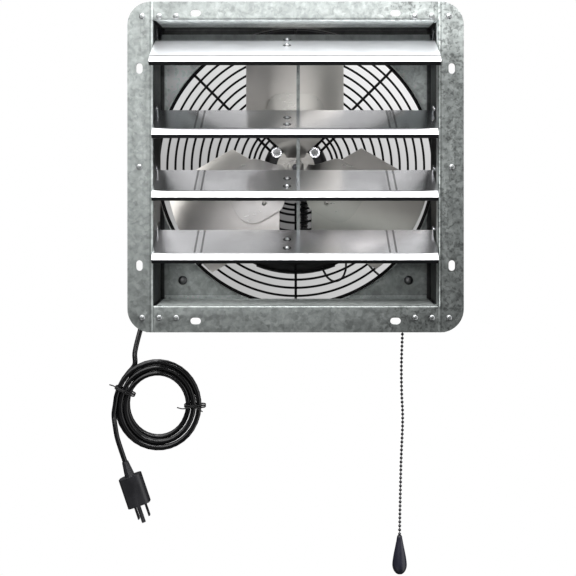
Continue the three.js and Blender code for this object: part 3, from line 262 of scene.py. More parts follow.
def galvanised():
    """Mottled zinc, speckled on the flange's right. The webs and the box behind it are duller, with painted
    shade in the box's corners and on its side webs, and painted light on the box, the level webs and the
    right web's front strip.
    """
    f = Finish("galvanised", (0.5, 0.52, 0.51), 0.97, 0.44)
    x, y, z = f.axes(f.place)
    across = f.math("ABSOLUTE", x)
    spangle = f.cells(260.0, 0.006, 170.0)
    cloud = f.noise(115.0, 7.0, distortion=0.8)
    mottled = f.ramp(f.mix(spangle, cloud, 0.8), [
        (0.3, (0.28, 0.3, 0.293)),
        (0.5, (0.385, 0.414, 0.404)),
        (0.72, (0.51, 0.542, 0.53)),
    ])

    # Where the sheet is folded back, lies level at top and bottom, fronts the right web, or forms the box
    folded = f.over(y, 0.0)
    level = f.largest(f.over(z, LEVEL_TOP), f.under(z, LEVEL_BOTTOM))
    level = f.times(level, folded, f.under(across, LEVEL_HALF))
    lit_strip = f.times(f.over(x, STRIP_X), f.under(y, STRIP_DEPTH), folded)
    box = f.over(y, BOX_DEPTH)
    dull = f.plus(f.times(level, 0.75), f.times(box, 0.45), f.times(lit_strip, 0.6))
    f.set("Metallic", f.largest(f.minus(0.97, dull), 0.1))

    # Specks on the flange's right. Painted shade: dark corners and a dark top in the box, and dark side
    # webs. Painted light: the box brighter, most in its upper part, and a bright strip down the right web's
    # front.
    specks = f.eased(f.noise(300.0, 3.0, distortion=0.5), 0.34, 0.52, 0.55, 1.0)
    plain = f.largest(f.eased(x, 0.06, 0.16, 1.0, 0.0), f.over(y, 0.002))
    sides = f.eased(across, 0.143, 0.158, 1.0, 0.1)
    corner = f.math("MINIMUM", sides, f.eased(z, -0.035, -0.025, 1.0, 0.04))
    corner = f.inside(box, f.times(corner, f.eased(z, -0.2, -0.14, 1.5, 2.7)))
    painted_web = f.inside(folded, f.eased(across, 0.1485, 0.15, 1.0, 0.15))
    painted_web = f.largest(painted_web, f.times(lit_strip, 1.9))

    # Painted light and shade, slow across the sheet: darker to the right low down, lighter to the right at
    # the top, and darker towards the bottom. A painted highlight down the fold at the flange's inner edges,
    # with a dark line beside it
    right = f.times(f.eased(x, 0.0, 0.18, 0.0, 0.22), f.eased(z, -0.06, -0.02, 1.0, -1.2))
    slow = f.times(f.minus(0.96, right), f.eased(z, -0.34, -0.17, 0.8, 1.0))
    line = f.minus(f.times(f.between(across, *FOLD_HIGHLIGHT), 0.6), f.times(f.between(across, *DARK_LINE), 0.4))
    line = f.times(line, f.under(y, 0.0))

    # Painted light: the level webs at top and bottom are brightened.
    shade = f.times(f.largest(specks, plain), f.times(corner, painted_web), f.plus(f.times(level, 0.95), 1.0))
    f.set("Base Color", f.dimmed(mottled, f.times(shade, slow, f.plus(line, 1.0))))
    f.rough(f.mix(spangle, f.noise(260.0), 0.6), 0.38, 0.52)
    f.bump(cloud, 0.1, 0.5)
    f.bump(f.noise(900.0, 3.0), 0.04, 0.5)
    return f.material


def mill_sheet(name, dark, base, roughness, streak, wave, shade=None, wear=None):
    """Bright rolled sheet: fine lines along X, slow waves, faint smudges, and, where given, a darkening of
    its colour (painted shade on the slats) and its wear.
    """
    f = Finish(name, base, 1.0, roughness)
    lines = f.noise(55.0, 3.0, stretch=(0.35, 9.0, 9.0))
    smudge = f.noise(28.0, 4.0)
    colour = f.ramp(smudge, [(0.3, dark), (0.7, base)])
    f.set("Base Color", f.dimmed(colour, shade(f)) if shade else colour)
    if wear:
        f.set("Roughness", wear(f))
    else:
        f.rough(f.mix(lines, smudge, 0.5), roughness * 0.75, roughness * 1.35)
    f.bump(lines, streak, 0.6)
    f.bump(f.noise(9.0, 1.0), wave, 0.8)
    return f.material


def slat_wear(f):
    """Each slat is rougher where it is handled, in front of its plate."""
    _, y, z = f.axes(f.place)
    top = f.over(z, TOP_SLAT)
    place = f.minus(f.plus(y, 0.0185), f.times(top, 0.0245))
    place = f.math("DIVIDE", place, f.plus(f.times(top, 0.007), 0.0015))
    return f.eased(place, 0.0, 1.0, 0.4, 0.2)


def slat_shade(f):
    """Painted shade: dark hems on every slat, dark lines along a fold in the top slat and along two creases
    near the ends, a darker rear on the top slat, and a dark ring round each rivet.
    """
    x, y, z = f.axes(f.place)
    across = f.math("ABSOLUTE", x)
    top = f.over(z, TOP_SLAT)
    lower = f.minus(1.0, top)
    hem = f.under(f.math("FLOORED_MODULO", f.minus(HEM_TOP, z), SLAT_PITCH), HEM_TALL)
    hem = f.times(hem, f.under(y, HEM_FRONT), lower)
    hem = f.largest(hem, f.times(top, f.under(z, TOP_HEM)))
    fold = f.times(f.near(y, TOP_FOLD, LINE_HALF), top)
    crease = f.plus(*[f.near(across, place, LINE_HALF) for place in CREASES])
    crease = f.times(crease, f.over(y, CREASE_FRONT), lower)
    rear = f.times(top, f.eased(y, 0.006, 0.016, 0.0, 0.6))
    shade = f.minus(1.0, f.times(hem, 0.93))
    for mark in (f.times(fold, 0.75), f.times(crease, 0.6), rear):
        shade = f.minus(shade, mark)
    for depth in MARK_DEPTHS:
        along = f.math("DIVIDE", f.minus(y, depth), MARK_SLOPE)
        mark = f.under(f.distance(f.minus(x, MARK_X), along), MARK_REACH)
        shade = f.times(shade, f.minus(1.0, f.times(mark, 0.85)))
    return shade


def spider_shade(f):
    """The spider is greyer round the hub."""
    x, _, z = f.axes(f.place)
    return f.eased(f.distance(x, f.minus(z, ORIGIN.z * MM)), 0.03, 0.055, 0.42, 1.0)


def black_coat(name, base, roughness, grain, shine=0.5):
    f = Finish(name, base, 0.0, roughness)
    f.shader.inputs["Specular IOR Level"].default_value = shine
    patch = f.noise(60.0, 3.0)
    light = tuple(c * 1.7 + 0.002 for c in base)
    f.set("Base Color", f.ramp(patch, [(0.35, base), (0.75, light)]))
    f.rough(patch, roughness * 0.8, roughness * 1.25)
    f.bump(f.noise(900.0, 2.0), grain, 0.5)
    return f.material


def plated(name, base, roughness):
    f = Finish(name, base, 1.0, roughness)
    patch = f.noise(220.0, 4.0)
    f.set("Base Color", f.ramp(patch, [(0.3, tuple(c * 0.7 for c in base)), (0.7, base)]))
    f.rough(patch, roughness * 0.7, roughness * 1.5)
    f.bump(f.noise(1400.0, 2.0), 0.005, 0.4)
    return f.material


def laminated():
    f = Finish("laminations", (0.12, 0.12, 0.13), 0.8, 0.5)
    rows = f.noise(60.0, 2.0, stretch=(0.1, 30.0, 0.1))
    f.set("Base Color", f.ramp(rows, [(0.35, (0.05, 0.05, 0.055)), (0.65, (0.2, 0.2, 0.21))]))
    f.bump(rows, 0.15, 0.8)
    return f.material


GALVANISED = galvanised()
SLAT_SHEET = mill_sheet(
    "slat_sheet", (0.775, 0.775, 0.797), (0.86, 0.86, 0.885), 0.2, 0.004, 0.12, slat_shade, slat_wear,
)
BLADE_SHEET = mill_sheet("blade_sheet", (0.756, 0.729, 0.6885), (0.84, 0.81, 0.765), 0.32, 0.01, 0.25)
SPIDER_SHEET = mill_sheet(
    "spider_sheet", (0.68, 0.665, 0.63), (0.76, 0.735, 0.69), 0.28, 0.01, 0.25, spider_shade,
)
BLACK_WIRE = black_coat("black_wire", (0.003, 0.003, 0.0034), 0.36, 0.02, 0.14)
BLACK_HOUSING = black_coat("black_housing", (0.012, 0.012, 0.013), 0.38, 0.04)
BLACK_MOULDING = black_coat("black_moulding", (0.012, 0.012, 0.014), 0.36, 0.03)
TIE_COAT = black_coat("tie_coat", (0.006, 0.006, 0.0065), 0.6, 0.02)
KNOB_PLASTIC = black_coat("knob_plastic", (0.012, 0.012, 0.02), 0.3, 0.01)
CORD_JACKET = black_coat("cord_jacket", (0.004, 0.004, 0.0045), 0.2, 0.01)
ZINC = plated("zinc_steel", (0.68, 0.69, 0.71), 0.2)
DARK_STEEL = plated("dark_steel", (0.07, 0.07, 0.075), 0.26)
SCREW_STEEL = plated("screw_steel", (0.22, 0.22, 0.225), 0.32)
RIVET_STEEL = plated("rivet_steel", (0.55, 0.56, 0.57), 0.34)
LAMINATIONS = laminated()


# Mesh helpers
def piece(name, mesh, finish, body, nodes=(), smooth_angle=35.0, bevel=0.0, segments=2):
    """A finished piece: smooth but for its sharp edges, with a small bevel on those."""
    for polygon in mesh.polygons:
        polygon.use_smooth = True
    mesh.set_sharp_from_angle(angle=math.radians(smooth_angle))
    mesh.materials.clear()
    mesh.materials.append(finish)
    made = bpy.data.objects.new(name, mesh)
    collection.objects.link(made)
    if bevel:
        round_edges = made.modifiers.new("round_edges", "BEVEL")
        round_edges.width = bevel * MM
        round_edges.segments = segments
        round_edges.limit_method = "ANGLE"
        round_edges.angle_limit = math.radians(smooth_angle)
        round_edges.harden_normals = True
    if nodes:
        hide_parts(*nodes)
    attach(made, body)
    return made


def mesh_of(name, parts):
    """One mesh from (vertices, faces) pairs, with its faces turned outwards."""
    vertices, faces = [], []
    for some_vertices, some_faces in parts:
        start = len(vertices)
        vertices += [tuple(v) for v in some_vertices]
        faces += [tuple(start + i for i in face) for face in some_faces]
    mesh = bpy.data.meshes.new(name)
    mesh.from_pydata(vertices, [], faces)
    bm = bmesh.new()
    bm.from_mesh(mesh)
    bmesh.ops.recalc_face_normals(bm, faces=bm.faces)
    bm.to_mesh(mesh)
    bm.free()
    return mesh


def shown(node, parts, finish, body, smooth_angle=35.0, bevel=0.0):
    """A piece built from parts, in the place of a node."""
    return piece(node + "_shown", mesh_of(node, parts), finish, body, [node], smooth_angle, bevel)


def refined(node, finish, body, bevel=0.25, smooth_angle=35.0, segments=2):
    """A node's own shape, with its flat triangles joined and its edges rounded."""
    bm = bmesh.new()
    bm.from_mesh(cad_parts[node].data)
    bmesh.ops.remove_doubles(bm, verts=bm.verts, dist=2e-6)
    bmesh.ops.dissolve_limit(bm, angle_limit=math.radians(0.5), verts=bm.verts, edges=bm.edges)
    mesh = bpy.data.meshes.new(node + "_shape")
    bm.to_mesh(mesh)
    bm.free()
    return piece(node + "_shown", mesh, finish, body, [node], smooth_angle, bevel, segments)


def tube_faces(rows, sides, closed):
    """Quads between rows of vertices, with a cap at each end of an open tube."""
    faces = []
    for i in range(rows if closed else rows - 1):
        start, on = i * sides, (i + 1) % rows * sides
        for k in range(sides):
            n = (k + 1) % sides
            faces.append((start + k, start + n, on + n, on + k))
    if not closed:
        faces += [tuple(range(sides)), tuple(range((rows - 1) * sides, rows * sides))]
    return faces


def tube(points, radius, sides=10, closed=False):
    """A round tube along points in the row frame, in metres."""
    points = [Vector(p) for p in points]
    count = len(points)
    vertices = []
    side = None
    for i, point in enumerate(points):
        ahead = points[(i + 1) % count] if closed or i < count - 1 else point
        behind = points[i - 1] if closed or i > 0 else point
        along = (ahead - behind).normalized()
        if side is None:
            side = along.orthogonal().normalized()
        side = (side - along * side.dot(along)).normalized()
        up = along.cross(side)
        for k in range(sides):
            angle = TURN * k / sides
            vertices.append(point + radius * (math.cos(angle) * side + math.sin(angle) * up))
    return vertices, tube_faces(count, sides, closed)


def ring(radius, wire, depth, steps=144, sides=8):
    """A wire ring round the fan's axis. It is closed exactly, so its ends need no matching."""
    vertices = []
    for i in range(steps):
        angle = TURN * i / steps
        for k in range(sides):
            turn = TURN * k / sides
            reach = radius + wire * math.cos(turn)
            across, up = reach * math.cos(angle), reach * math.sin(angle)
            vertices.append(mm(across, depth + wire * math.sin(turn), up))
    return vertices, tube_faces(steps, sides, True)


def turned(outline, place, axis="y", segments=64, lean=Matrix.Identity(3)):
    """A turned body: outline rows are (radius, distance along the axis) in mm, and it starts at place."""
    vertices, faces, rows = [], [], []
    for radius, along in outline:
        row = []
        steps = 1 if radius < 1e-6 else segments
        for k in range(steps):
            angle = TURN * k / segments
            across, up = radius * math.cos(angle), radius * math.sin(angle)
            offset = {"x": (along, across, up), "y": (across, along, up), "z": (across, up, along)}[axis]
            row.append(len(vertices))
            vertices.append(mm(*(Vector(place) + lean @ Vector(offset))))
        rows.append(row)
    for first, second in zip(rows, rows[1:]):
        for k in range(segments):
            a, b = first[k % len(first)], first[(k + 1) % len(first)]
            c, d = second[k % len(second)], second[(k + 1) % len(second)]
            corner = [a, b, d, c]
            face = [v for n, v in enumerate(corner) if v not in corner[:n]]
            if len(face) > 2:
                faces.append(tuple(face))
    return vertices, faces


def rounded(corners, radius, steps=8):
    """A route through corners, in mm, with a round bend at each inner corner."""
    corners = [Vector(c) for c in corners]
    route = [corners[0]]
    for before, corner, after in zip(corners, corners[1:], corners[2:]):
        back = (before - corner).normalized()
        on = (after - corner).normalized()
        half = back.angle(on) / 2
        centre = corner + (back + on).normalized() * radius / math.sin(half)
        start = corner + back * radius / math.tan(half) - centre
        end = corner + on * radius / math.tan(half) - centre
        sweep = start.angle(end)
        for k in range(steps + 1):
            share = k / steps
            arm = start * math.sin((1 - share) * sweep) + end * math.sin(share * sweep)
            route.append(centre + arm / math.sin(sweep))
    return route + [corners[-1]]


def smooth_route(points, per_gap=6):
    """A centripetal curve through points, in mm."""
    points = [Vector(p) for p in points]
    ends = [2 * points[0] - points[1], *points, 2 * points[-1] - points[-2]]
    route = [points[0]]
    for p0, p1, p2, p3 in zip(ends, ends[1:], ends[2:], ends[3:]):
        t1 = (p1 - p0).length ** 0.5
        t2 = t1 + (p2 - p1).length ** 0.5
        t3 = t2 + (p3 - p2).length ** 0.5
        for k in range(1, per_gap + 1):
            t = t1 + (t2 - t1) * k / per_gap
            a1 = p0.lerp(p1, t / t1)
            a2 = p1.lerp(p2, (t - t1) / (t2 - t1))
            a3 = p2.lerp(p3, (t - t2) / (t3 - t2))
            b1 = a1.lerp(a2, t / t2)
            b2 = a2.lerp(a3, (t - t1) / (t3 - t1))
            route.append(b1.lerp(b2, (t - t1) / (t2 - t1)))
    return route


def smoothstep(value, low, high):
    share = min(1.0, max(0.0, (value - low) / (high - low)))
    return share * share * (3 - 2 * share)


def length_of(points):
    return sum((b - a).length for a, b in zip(points, points[1:]))


def soft_line(name, route, radius, finish, body, nodes, resolution=5):
    """A cord as one open spline along a route in mm."""
    data = bpy.data.curves.new(name, "CURVE")
    data.dimensions = "3D"
    data.bevel_depth = radius * MM
    data.bevel_resolution = resolution
    data.use_fill_caps = True
    spline = data.splines.new("POLY")
    spline.points.add(len(route) - 1)
    for point, place in zip(spline.points, route):
        point.co = (*mm(*place), 1)
    spline.use_smooth = True
    data.materials.append(finish)
    made = bpy.data.objects.new(name, data)
    collection.objects.link(made)
    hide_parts(*nodes)
    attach(made, body)
    return made


# Mains lead: out of the strain relief, down to the coil, round it in two layers, and on to the plug
CORD_RADIUS = 2.9
COIL_CENTRE = Vector((-158.5, 101.0, -275.4))
COIL_OUTER = 50.0
COIL_TALL = 1.055
COIL_PITCH = 6.3
COIL_LAYER = 6.6
COIL_TURNS = 5.12
COIL_START = 135.0
COIL_STEPS = 36
CLIMB_TURNS = 0.5
COIL_RUN_IN = 4 * CORD_RADIUS
LEAD_ROUTE = [
    (-73.5, 157, -100), (-78.6, 157, -100), (-92, 157, -100.4), (-112, 156, -104), (-133, 151, -113),
    (-152, 142, -129), (-167, 130, -151), (-177, 119, -174), (-183, 111, -196), (-187, 106, -216),
]
TAIL_ROUTE = [(-208.4, 95.5, -297), (-205.6, 93.8, -311), (-201, 92.8, -325), (-196.5, 92.4, -338)]


def coil_point(turns):
    middle = COIL_TURNS / 2
    radius = COIL_OUTER - COIL_PITCH * (middle - abs(turns - middle))
    angle = math.radians(COIL_START) + TURN * turns
    climb = smoothstep(turns, middle - CLIMB_TURNS / 2, middle + CLIMB_TURNS / 2)
    return COIL_CENTRE + Vector((
        radius * math.cos(angle), COIL_LAYER * (0.5 - climb), COIL_TALL * radius * math.sin(angle),
    ))


coil_count = round(COIL_TURNS * COIL_STEPS)
coil = [coil_point(COIL_TURNS * i / coil_count) for i in range(coil_count + 1)]
into_coil = coil[0] + (coil[0] - coil[1]).normalized() * COIL_RUN_IN
out_of_coil = coil[-1] + (coil[-1] - coil[-2]).normalized() * COIL_RUN_IN
lead_part = smooth_route([*LEAD_ROUTE, into_coil, coil[0]])
tail_part = smooth_route([coil[-1], out_of_coil, *TAIL_ROUTE])
cord_route = lead_part[:-1] + coil + tail_part[1:]
mains = soft_line(
    "mains_lead", cord_route, CORD_RADIUS, CORD_JACKET, "fan_body",
    ["power_cord_lead", "power_cord_coil", "power_cord_tail"],
)

plug = refined("plug_body", BLACK_MOULDING, "fan_body", bevel=0.6, segments=3)


# Ties: a coated wire round the turns, closed by a twist, with its ends left free
TIE_DEGREES, TIE_GAP = (158, 0), 0.9
TIE_LOOP, TIE_TWIST, TIE_END = 0.85, 0.8, 0.7
LOOP_STEPS, LOOP_SHIFTS, LOOP_POWERS = 48, (-1.1, 0.9), (0.45, 0.6)
KNOT_PROUD, TWIST_STEPS, TWIST_ROUNDS, TWIST_HALF, TWIST_WIDE, TWIST_DEEP = 0.6, 18, 1.6, 3, 1.2, 0.9


def pushed_out(value, power):
    """A sine or cosine whose round course is pushed out towards a square."""
    return math.copysign(abs(value) ** power, value)


def twist_tie(angle, ends):
    inner = COIL_OUTER - COIL_PITCH * COIL_TURNS / 2
    reach = (COIL_OUTER - inner) / 2 + CORD_RADIUS + TIE_GAP
    rise = COIL_LAYER / 2 + CORD_RADIUS + TIE_GAP
    lean = math.atan2(COIL_TALL * math.sin(angle), math.cos(angle))
    stretch = math.hypot(math.cos(angle), COIL_TALL * math.sin(angle))
    outward = Vector((math.cos(lean), 0, math.sin(lean)))
    sideways = Vector((-math.sin(lean), 0, math.cos(lean)))
    back = Vector((0, 1, 0))
    centre = COIL_CENTRE + outward * (COIL_OUTER + inner) / 2 * stretch
    parts = []
    for shift in LOOP_SHIFTS:
        loop = []
        for k in range(LOOP_STEPS):
            turn = TURN * k / LOOP_STEPS
            across = pushed_out(math.cos(turn), LOOP_POWERS[0])
            deep = pushed_out(math.sin(turn), LOOP_POWERS[1])
            loop.append(mm(*(centre + outward * reach * across + back * rise * deep + sideways * shift)))
        parts.append(tube(loop, TIE_LOOP * MM, 8, closed=True))
    knot = centre - back * (rise + KNOT_PROUD)
    twist = []
    for k in range(TWIST_STEPS + 1):
        share = k / TWIST_STEPS
        swirl = TURN * TWIST_ROUNDS * share
        place = knot + sideways * TWIST_WIDE * math.cos(swirl) - back * TWIST_DEEP * (1 + math.sin(swirl))
        twist.append(mm(*(place + outward * TWIST_HALF * (2 * share - 1))))
    parts.append(tube(twist, TIE_TWIST * MM, 8))
    for end in ends:
        route = smooth_route([knot, *[knot + Vector(step) for step in end]])
        parts.append(tube(placed(route), TIE_END * MM, 8))
    return parts


tie_ends = [
    [[(-6, -2.2, 4), (-12, -1.8, 7.5), (-17, 0.5, 8.5)], [(4, -2.5, 3.5), (8, -2, 8)]],
    [[(-7, -2.4, -1.2), (-14, -1.4, -2.2), (-20, 0.6, -1.2)], [(5, -2.4, -3), (9.5, -1.4, -5.5)]],
]
for number, (degrees, ends) in enumerate(zip(TIE_DEGREES, tie_ends), 1):
    tie = twist_tie(math.radians(degrees), ends)
    shown(f"cord_tie_{number}", tie, TIE_COAT, "fan_body")

length_of(cord_route) * MM


# Pull chain: beads on short links, from the switch down to the knob
CHAIN_DEPTH, BEAD_RADIUS, BEAD_PITCH, LINK_RADIUS = 94, 1.75, 4.6, 0.45
CHAIN_ROUTE = [
    (123.4, -150.8), (123.4, -170), (122.9, -192), (121.8, -225), (122, -258), (123.2, -288), (121.4, -337),
    (120.4, -380), (119.6, -423.4),
]


def evenly(points, step):
    """Places at even distances along a route."""
    places, carried = [points[0]], 0.0
    for a, b in zip(points, points[1:]):
        span = (b - a).length
        while carried + span >= step:
            share = (step - carried) / span
            a = a.lerp(b, share)
            places.append(a)
            span = (b - a).length
            carried = 0.0
        carried += span
    return places


def bead(place, radius, rows=7, sides=12):
    angles = [math.pi * k / rows for k in range(1, rows)]
    outline = [(radius * math.sin(a), -radius * math.cos(a)) for a in angles]
    return turned([(0, -radius), *outline, (0, radius)], place, "z", sides)


chain_line = smooth_route([(x, CHAIN_DEPTH, z) for x, z in CHAIN_ROUTE], 10)
bead_places = evenly(chain_line, BEAD_PITCH)
chain_parts = [bead(place, BEAD_RADIUS) for place in bead_places]
chain_parts.append(tube(placed(chain_line), LINK_RADIUS * MM, 6))
chain = shown("pull_chain", chain_parts, DARK_STEEL, "pull_set", 60)

KNOB_LENGTH, KNOB_RADIUS, KNOB_NECK, KNOB_WIDEST, KNOB_STEPS = 45.0, 8.4, 2.6, 0.74, 40
knob_top = Vector((119.6, CHAIN_DEPTH, -423.7))
knob_outline = [(0, 0), (KNOB_NECK * 0.8, 0)]
for k in range(1, KNOB_STEPS):
    share = k / KNOB_STEPS
    if share < KNOB_WIDEST:
        s = share / KNOB_WIDEST
        radius = KNOB_NECK + (KNOB_RADIUS - KNOB_NECK) * (0.5 * s ** 0.75 + 0.5 * smoothstep(s, 0, 1))
    else:
        radius = KNOB_RADIUS * math.sqrt(1 - ((share - KNOB_WIDEST) / (1 - KNOB_WIDEST)) ** 2)
    knob_outline.append((radius, -share * KNOB_LENGTH))
knob_outline.append((0, -KNOB_LENGTH))
knob_parts = [turned(knob_outline, knob_top, "z", 40)]
knob = shown("pull_knob", knob_parts, KNOB_PLASTIC, "pull_set", 50)
length_of(chain_line) * MM
[tuple(mm(*p)) for p in chain_line]

# Sheet-metal members, brackets and bar: folded sheet with rounded edges
for side in ("left", "right", "top", "bottom"):
    for member in ("shutter_frame", "box_side"):
        refined(f"{member}_{side}", GALVANISED, "fan_body", bevel=0.3)
refined("switch_bracket", GALVANISED, "fan_body", bevel=0.4)
refined("tie_bar", GALVANISED, "tie_bar_set", bevel=0.4)
for number in range(1, 5):
    refined(f"slat_bracket_{number}", ZINC, f"slat_{number}_set", bevel=0.25)

# Rivets on the flange: a domed collar with the stub of its stem
RIVET_X, RIVET_Z, RIVET_PITCH, SIDE_RIVET_X = 164.3, 161.4, 18.2, 167.2
rivet_places = [(-RIVET_X, RIVET_Z), (RIVET_X, RIVET_Z), (-RIVET_X, -RIVET_Z), (RIVET_X, -RIVET_Z)]
rivet_places += [(-SIDE_RIVET_X, 0), (SIDE_RIVET_X, 0)]
for side in (-1, 1):
    for place in (1, 2):
        along = side * (RIVET_X - place * RIVET_PITCH)
        rivet_places += [(along, RIVET_Z), (along, -RIVET_Z)]
rivet_outline = [
    (0, -1.0), (0.9, -1.0), (1.0, -0.75), (1.15, -0.75), (1.5, -1.25), (2.3, -1.15), (2.95, -0.7),
    (3.2, 0.05), (0, 0.05),
]
rivets = [turned(rivet_outline, (x, 0, z), "y", 24) for x, z in rivet_places]
piece(
    "flange_rivets", mesh_of("flange_rivets", rivets), RIVET_STEEL, "fan_body",
    smooth_angle=50,
)

# Orifice plate: a square sheet with a round opening whose rim is turned towards the front
PLATE_DEPTH, SHEET, PLATE_HALF, ORIFICE, COLLAR = 78.0, 0.8, 159.9, 158.1, 7.0


def orifice_plate(steps=192):
    """The outline gives radius and depth, with no radius where the sheet ends in its square edge."""
    vertices = []
    lip = PLATE_DEPTH - COLLAR
    outline = [
        (None, PLATE_DEPTH + SHEET), (ORIFICE, PLATE_DEPTH + SHEET), (ORIFICE, lip + 0.4),
        (ORIFICE + 0.12, lip + 0.12), (ORIFICE + 0.4, lip), (ORIFICE + 0.68, lip + 0.12),
        (ORIFICE + SHEET, lip + 0.4), (ORIFICE + SHEET, PLATE_DEPTH), (None, PLATE_DEPTH),
    ]
    for k in range(steps):
        angle = TURN * (k + 0.5) / steps
        c, s = math.cos(angle), math.sin(angle)
        square = PLATE_HALF / max(abs(c), abs(s))
        for radius, depth in outline:
            reach = square if radius is None else radius
            vertices.append(mm(reach * c, depth, reach * s))
    return vertices, tube_faces(steps, len(outline), True)


shown("orifice_plate", [orifice_plate()], GALVANISED, "fan_body")

PLATE_SCREW_SPREAD = 128.5
CORNERS = [(1, 1), (-1, 1), (-1, -1), (1, -1)]
screw_head = [
    (0, 75.1), (2.4, 75.25), (4.0, 75.9), (4.9, 76.8), (5.2, 77.7), (2.1, 77.75), (2.1, 82.6), (7.6, 82.65),
    (7.7, 83.7), (2.1, 83.75), (2.1, 89.9), (0, 89.9),
]
screw_nut = [(0, 83.8), (4.4, 83.8), (4.4, 87.0), (0, 87.0)]
for number, (right, up) in enumerate(CORNERS, 1):
    place = (right * PLATE_SCREW_SPREAD, 0, up * PLATE_SCREW_SPREAD)
    screw = [turned(screw_head, place, "y", 32), turned(screw_nut, place, "y", 6)]
    shown(f"plate_screw_{number}", screw, SCREW_STEEL, "fan_body", 40, 0.2)

# Wire guard and motor arms, with round wire
GUARD_DEPTH, RING_WIRE, SPOKE_WIRE, WELD = 135.0, 1.35, 1.6, 0.5
SPOKE_DEPTH = GUARD_DEPTH + RING_WIRE + SPOKE_WIRE - WELD
OUTER_RING, INNER_RING, RING_GAPS = 152.5, 65.7, 9
HUB_RINGS = [44.4, 50.3, 56.2]
CAGE_RING, CAGE_DEPTHS = 160.05, (84.5, 99.0, 115.0)
LEG_REACH, LEG_FOOT, LEG_END, LEG_BEND, SPOKE_START = 157.6, 83.15, 154.4, 2.9, 42
ring_span = OUTER_RING - INNER_RING
face_rings = HUB_RINGS + [INNER_RING + i * ring_span / RING_GAPS for i in range(RING_GAPS + 1)]
face_parts = [ring(radius, RING_WIRE, GUARD_DEPTH) for radius in face_rings]
cage_parts = [ring(CAGE_RING, RING_WIRE, depth) for depth in CAGE_DEPTHS]
for quarter in (1, 3):
    spin = Matrix.Rotation(TURN * quarter / 4, 3, "Y")
    spoke = [spin @ Vector((reach, SPOKE_DEPTH, 0)) for reach in (SPOKE_START, OUTER_RING + SPOKE_WIRE)]
    face_parts.append(tube(placed(spoke), SPOKE_WIRE * MM, 12))
    leg = [(LEG_REACH, LEG_FOOT, 0), (LEG_REACH, SPOKE_DEPTH, 0), (LEG_END, SPOKE_DEPTH, 0)]
    cage_parts.append(tube(placed(spin @ p for p in rounded(leg, LEG_BEND)), SPOKE_WIRE * MM, 12))
for node, parts in (("guard_face", face_parts), ("guard_cage", cage_parts)):
    piece(node + "_wires", mesh_of(node, parts), BLACK_WIRE, "fan_body", [node], 50)

FOOT_DEPTH, ARM_DEPTH, ARM_LOOP, ARM_LEG = 80.7, 138.25, 4.2, 155.9
ARM_FOOT, FOOT_ASIDE, ARM_BEND, RETURN_END, LOOP_PARTS = 186, 5.3, 3.4, 69.7, 16
BOLT_X, BOLT_Z = 22.5, 17.9
bolt_along = (BOLT_X + BOLT_Z) / math.sqrt(2)
bolt_aside = (BOLT_X - BOLT_Z) / math.sqrt(2)
for number, (degrees, lean) in enumerate(((45, -1), (135, 1), (225, -1), (315, 1)), 1):
    spin = Matrix.Rotation(-math.radians(degrees), 3, "Y")
    middle = lean * bolt_aside
    side = middle + ARM_LOOP
    corners = [(ARM_FOOT, FOOT_DEPTH, FOOT_ASIDE), (ARM_LEG, FOOT_DEPTH, side)]
    corners += [(ARM_LEG, ARM_DEPTH, side), (bolt_along, ARM_DEPTH, side)]
    route = rounded(corners, ARM_BEND)
    for i in range(1, LOOP_PARTS + 1):
        a = math.pi * i / LOOP_PARTS
        along, aside = bolt_along - ARM_LOOP * math.sin(a), middle + ARM_LOOP * math.cos(a)
        route.append(Vector((along, ARM_DEPTH, aside)))
    route.append(Vector((RETURN_END, ARM_DEPTH, middle - ARM_LOOP)))
    wire = tube(placed(spin @ p for p in route), SPOKE_WIRE * MM, 12)
    piece(
        f"motor_arm_{number}_wire", mesh_of("motor_arm", [wire]), BLACK_WIRE, "fan_body",
        [f"motor_arm_{number}"], 50,
    )

bolt = [
    (0, 129.95), (1.6, 130.05), (2.0, 130.4), (2.0, 132.0), (3.6, 132.0), (4.2, 132.6), (4.2, 135.2),
    (2.0, 135.25), (2.0, 198.0), (0, 198.0),
]
washer = [
    (2.0, 135.15), (6.2, 135.15), (6.4, 135.35), (6.4, 136.15), (6.2, 136.35), (2.0, 136.35), (2.0, 135.15),
]
head = [(0, 197.4), (4, 197.4), (4, 199.6), (3.6, 199.9), (0, 199.9)]
for number, (right, up) in enumerate(CORNERS, 1):
    place = (right * BOLT_X, 0, up * BOLT_Z)
    bolt_parts = [turned(bolt, place, "y", 32), turned(head, place, "y", 6)]
    shown(f"motor_bolt_{number}", bolt_parts, RIVET_STEEL, "fan_body")
    piece(
        f"motor_bolt_{number}_washer", mesh_of("washer", [turned(washer, place, "y", 32)]), ZINC,
        "fan_body",
    )

# Motor, its lead, the junction box and the switch
refined("motor_front_bell", BLACK_HOUSING, "fan_body", 0.5)
refined("motor_stator", LAMINATIONS, "fan_body", 0.3)
refined("motor_rear_bell", BLACK_HOUSING, "fan_body", 0.5)
refined("junction_box", BLACK_HOUSING, "fan_body", 0.5)
refined("junction_box_lid", BLACK_HOUSING, "fan_body", 0.4)
refined("switch_body", BLACK_MOULDING, "fan_body", 0.6)
refined("switch_nut", ZINC, "fan_body", 0.3)
refined("hub_screw", BLACK_HOUSING, "rotor", 0.3)

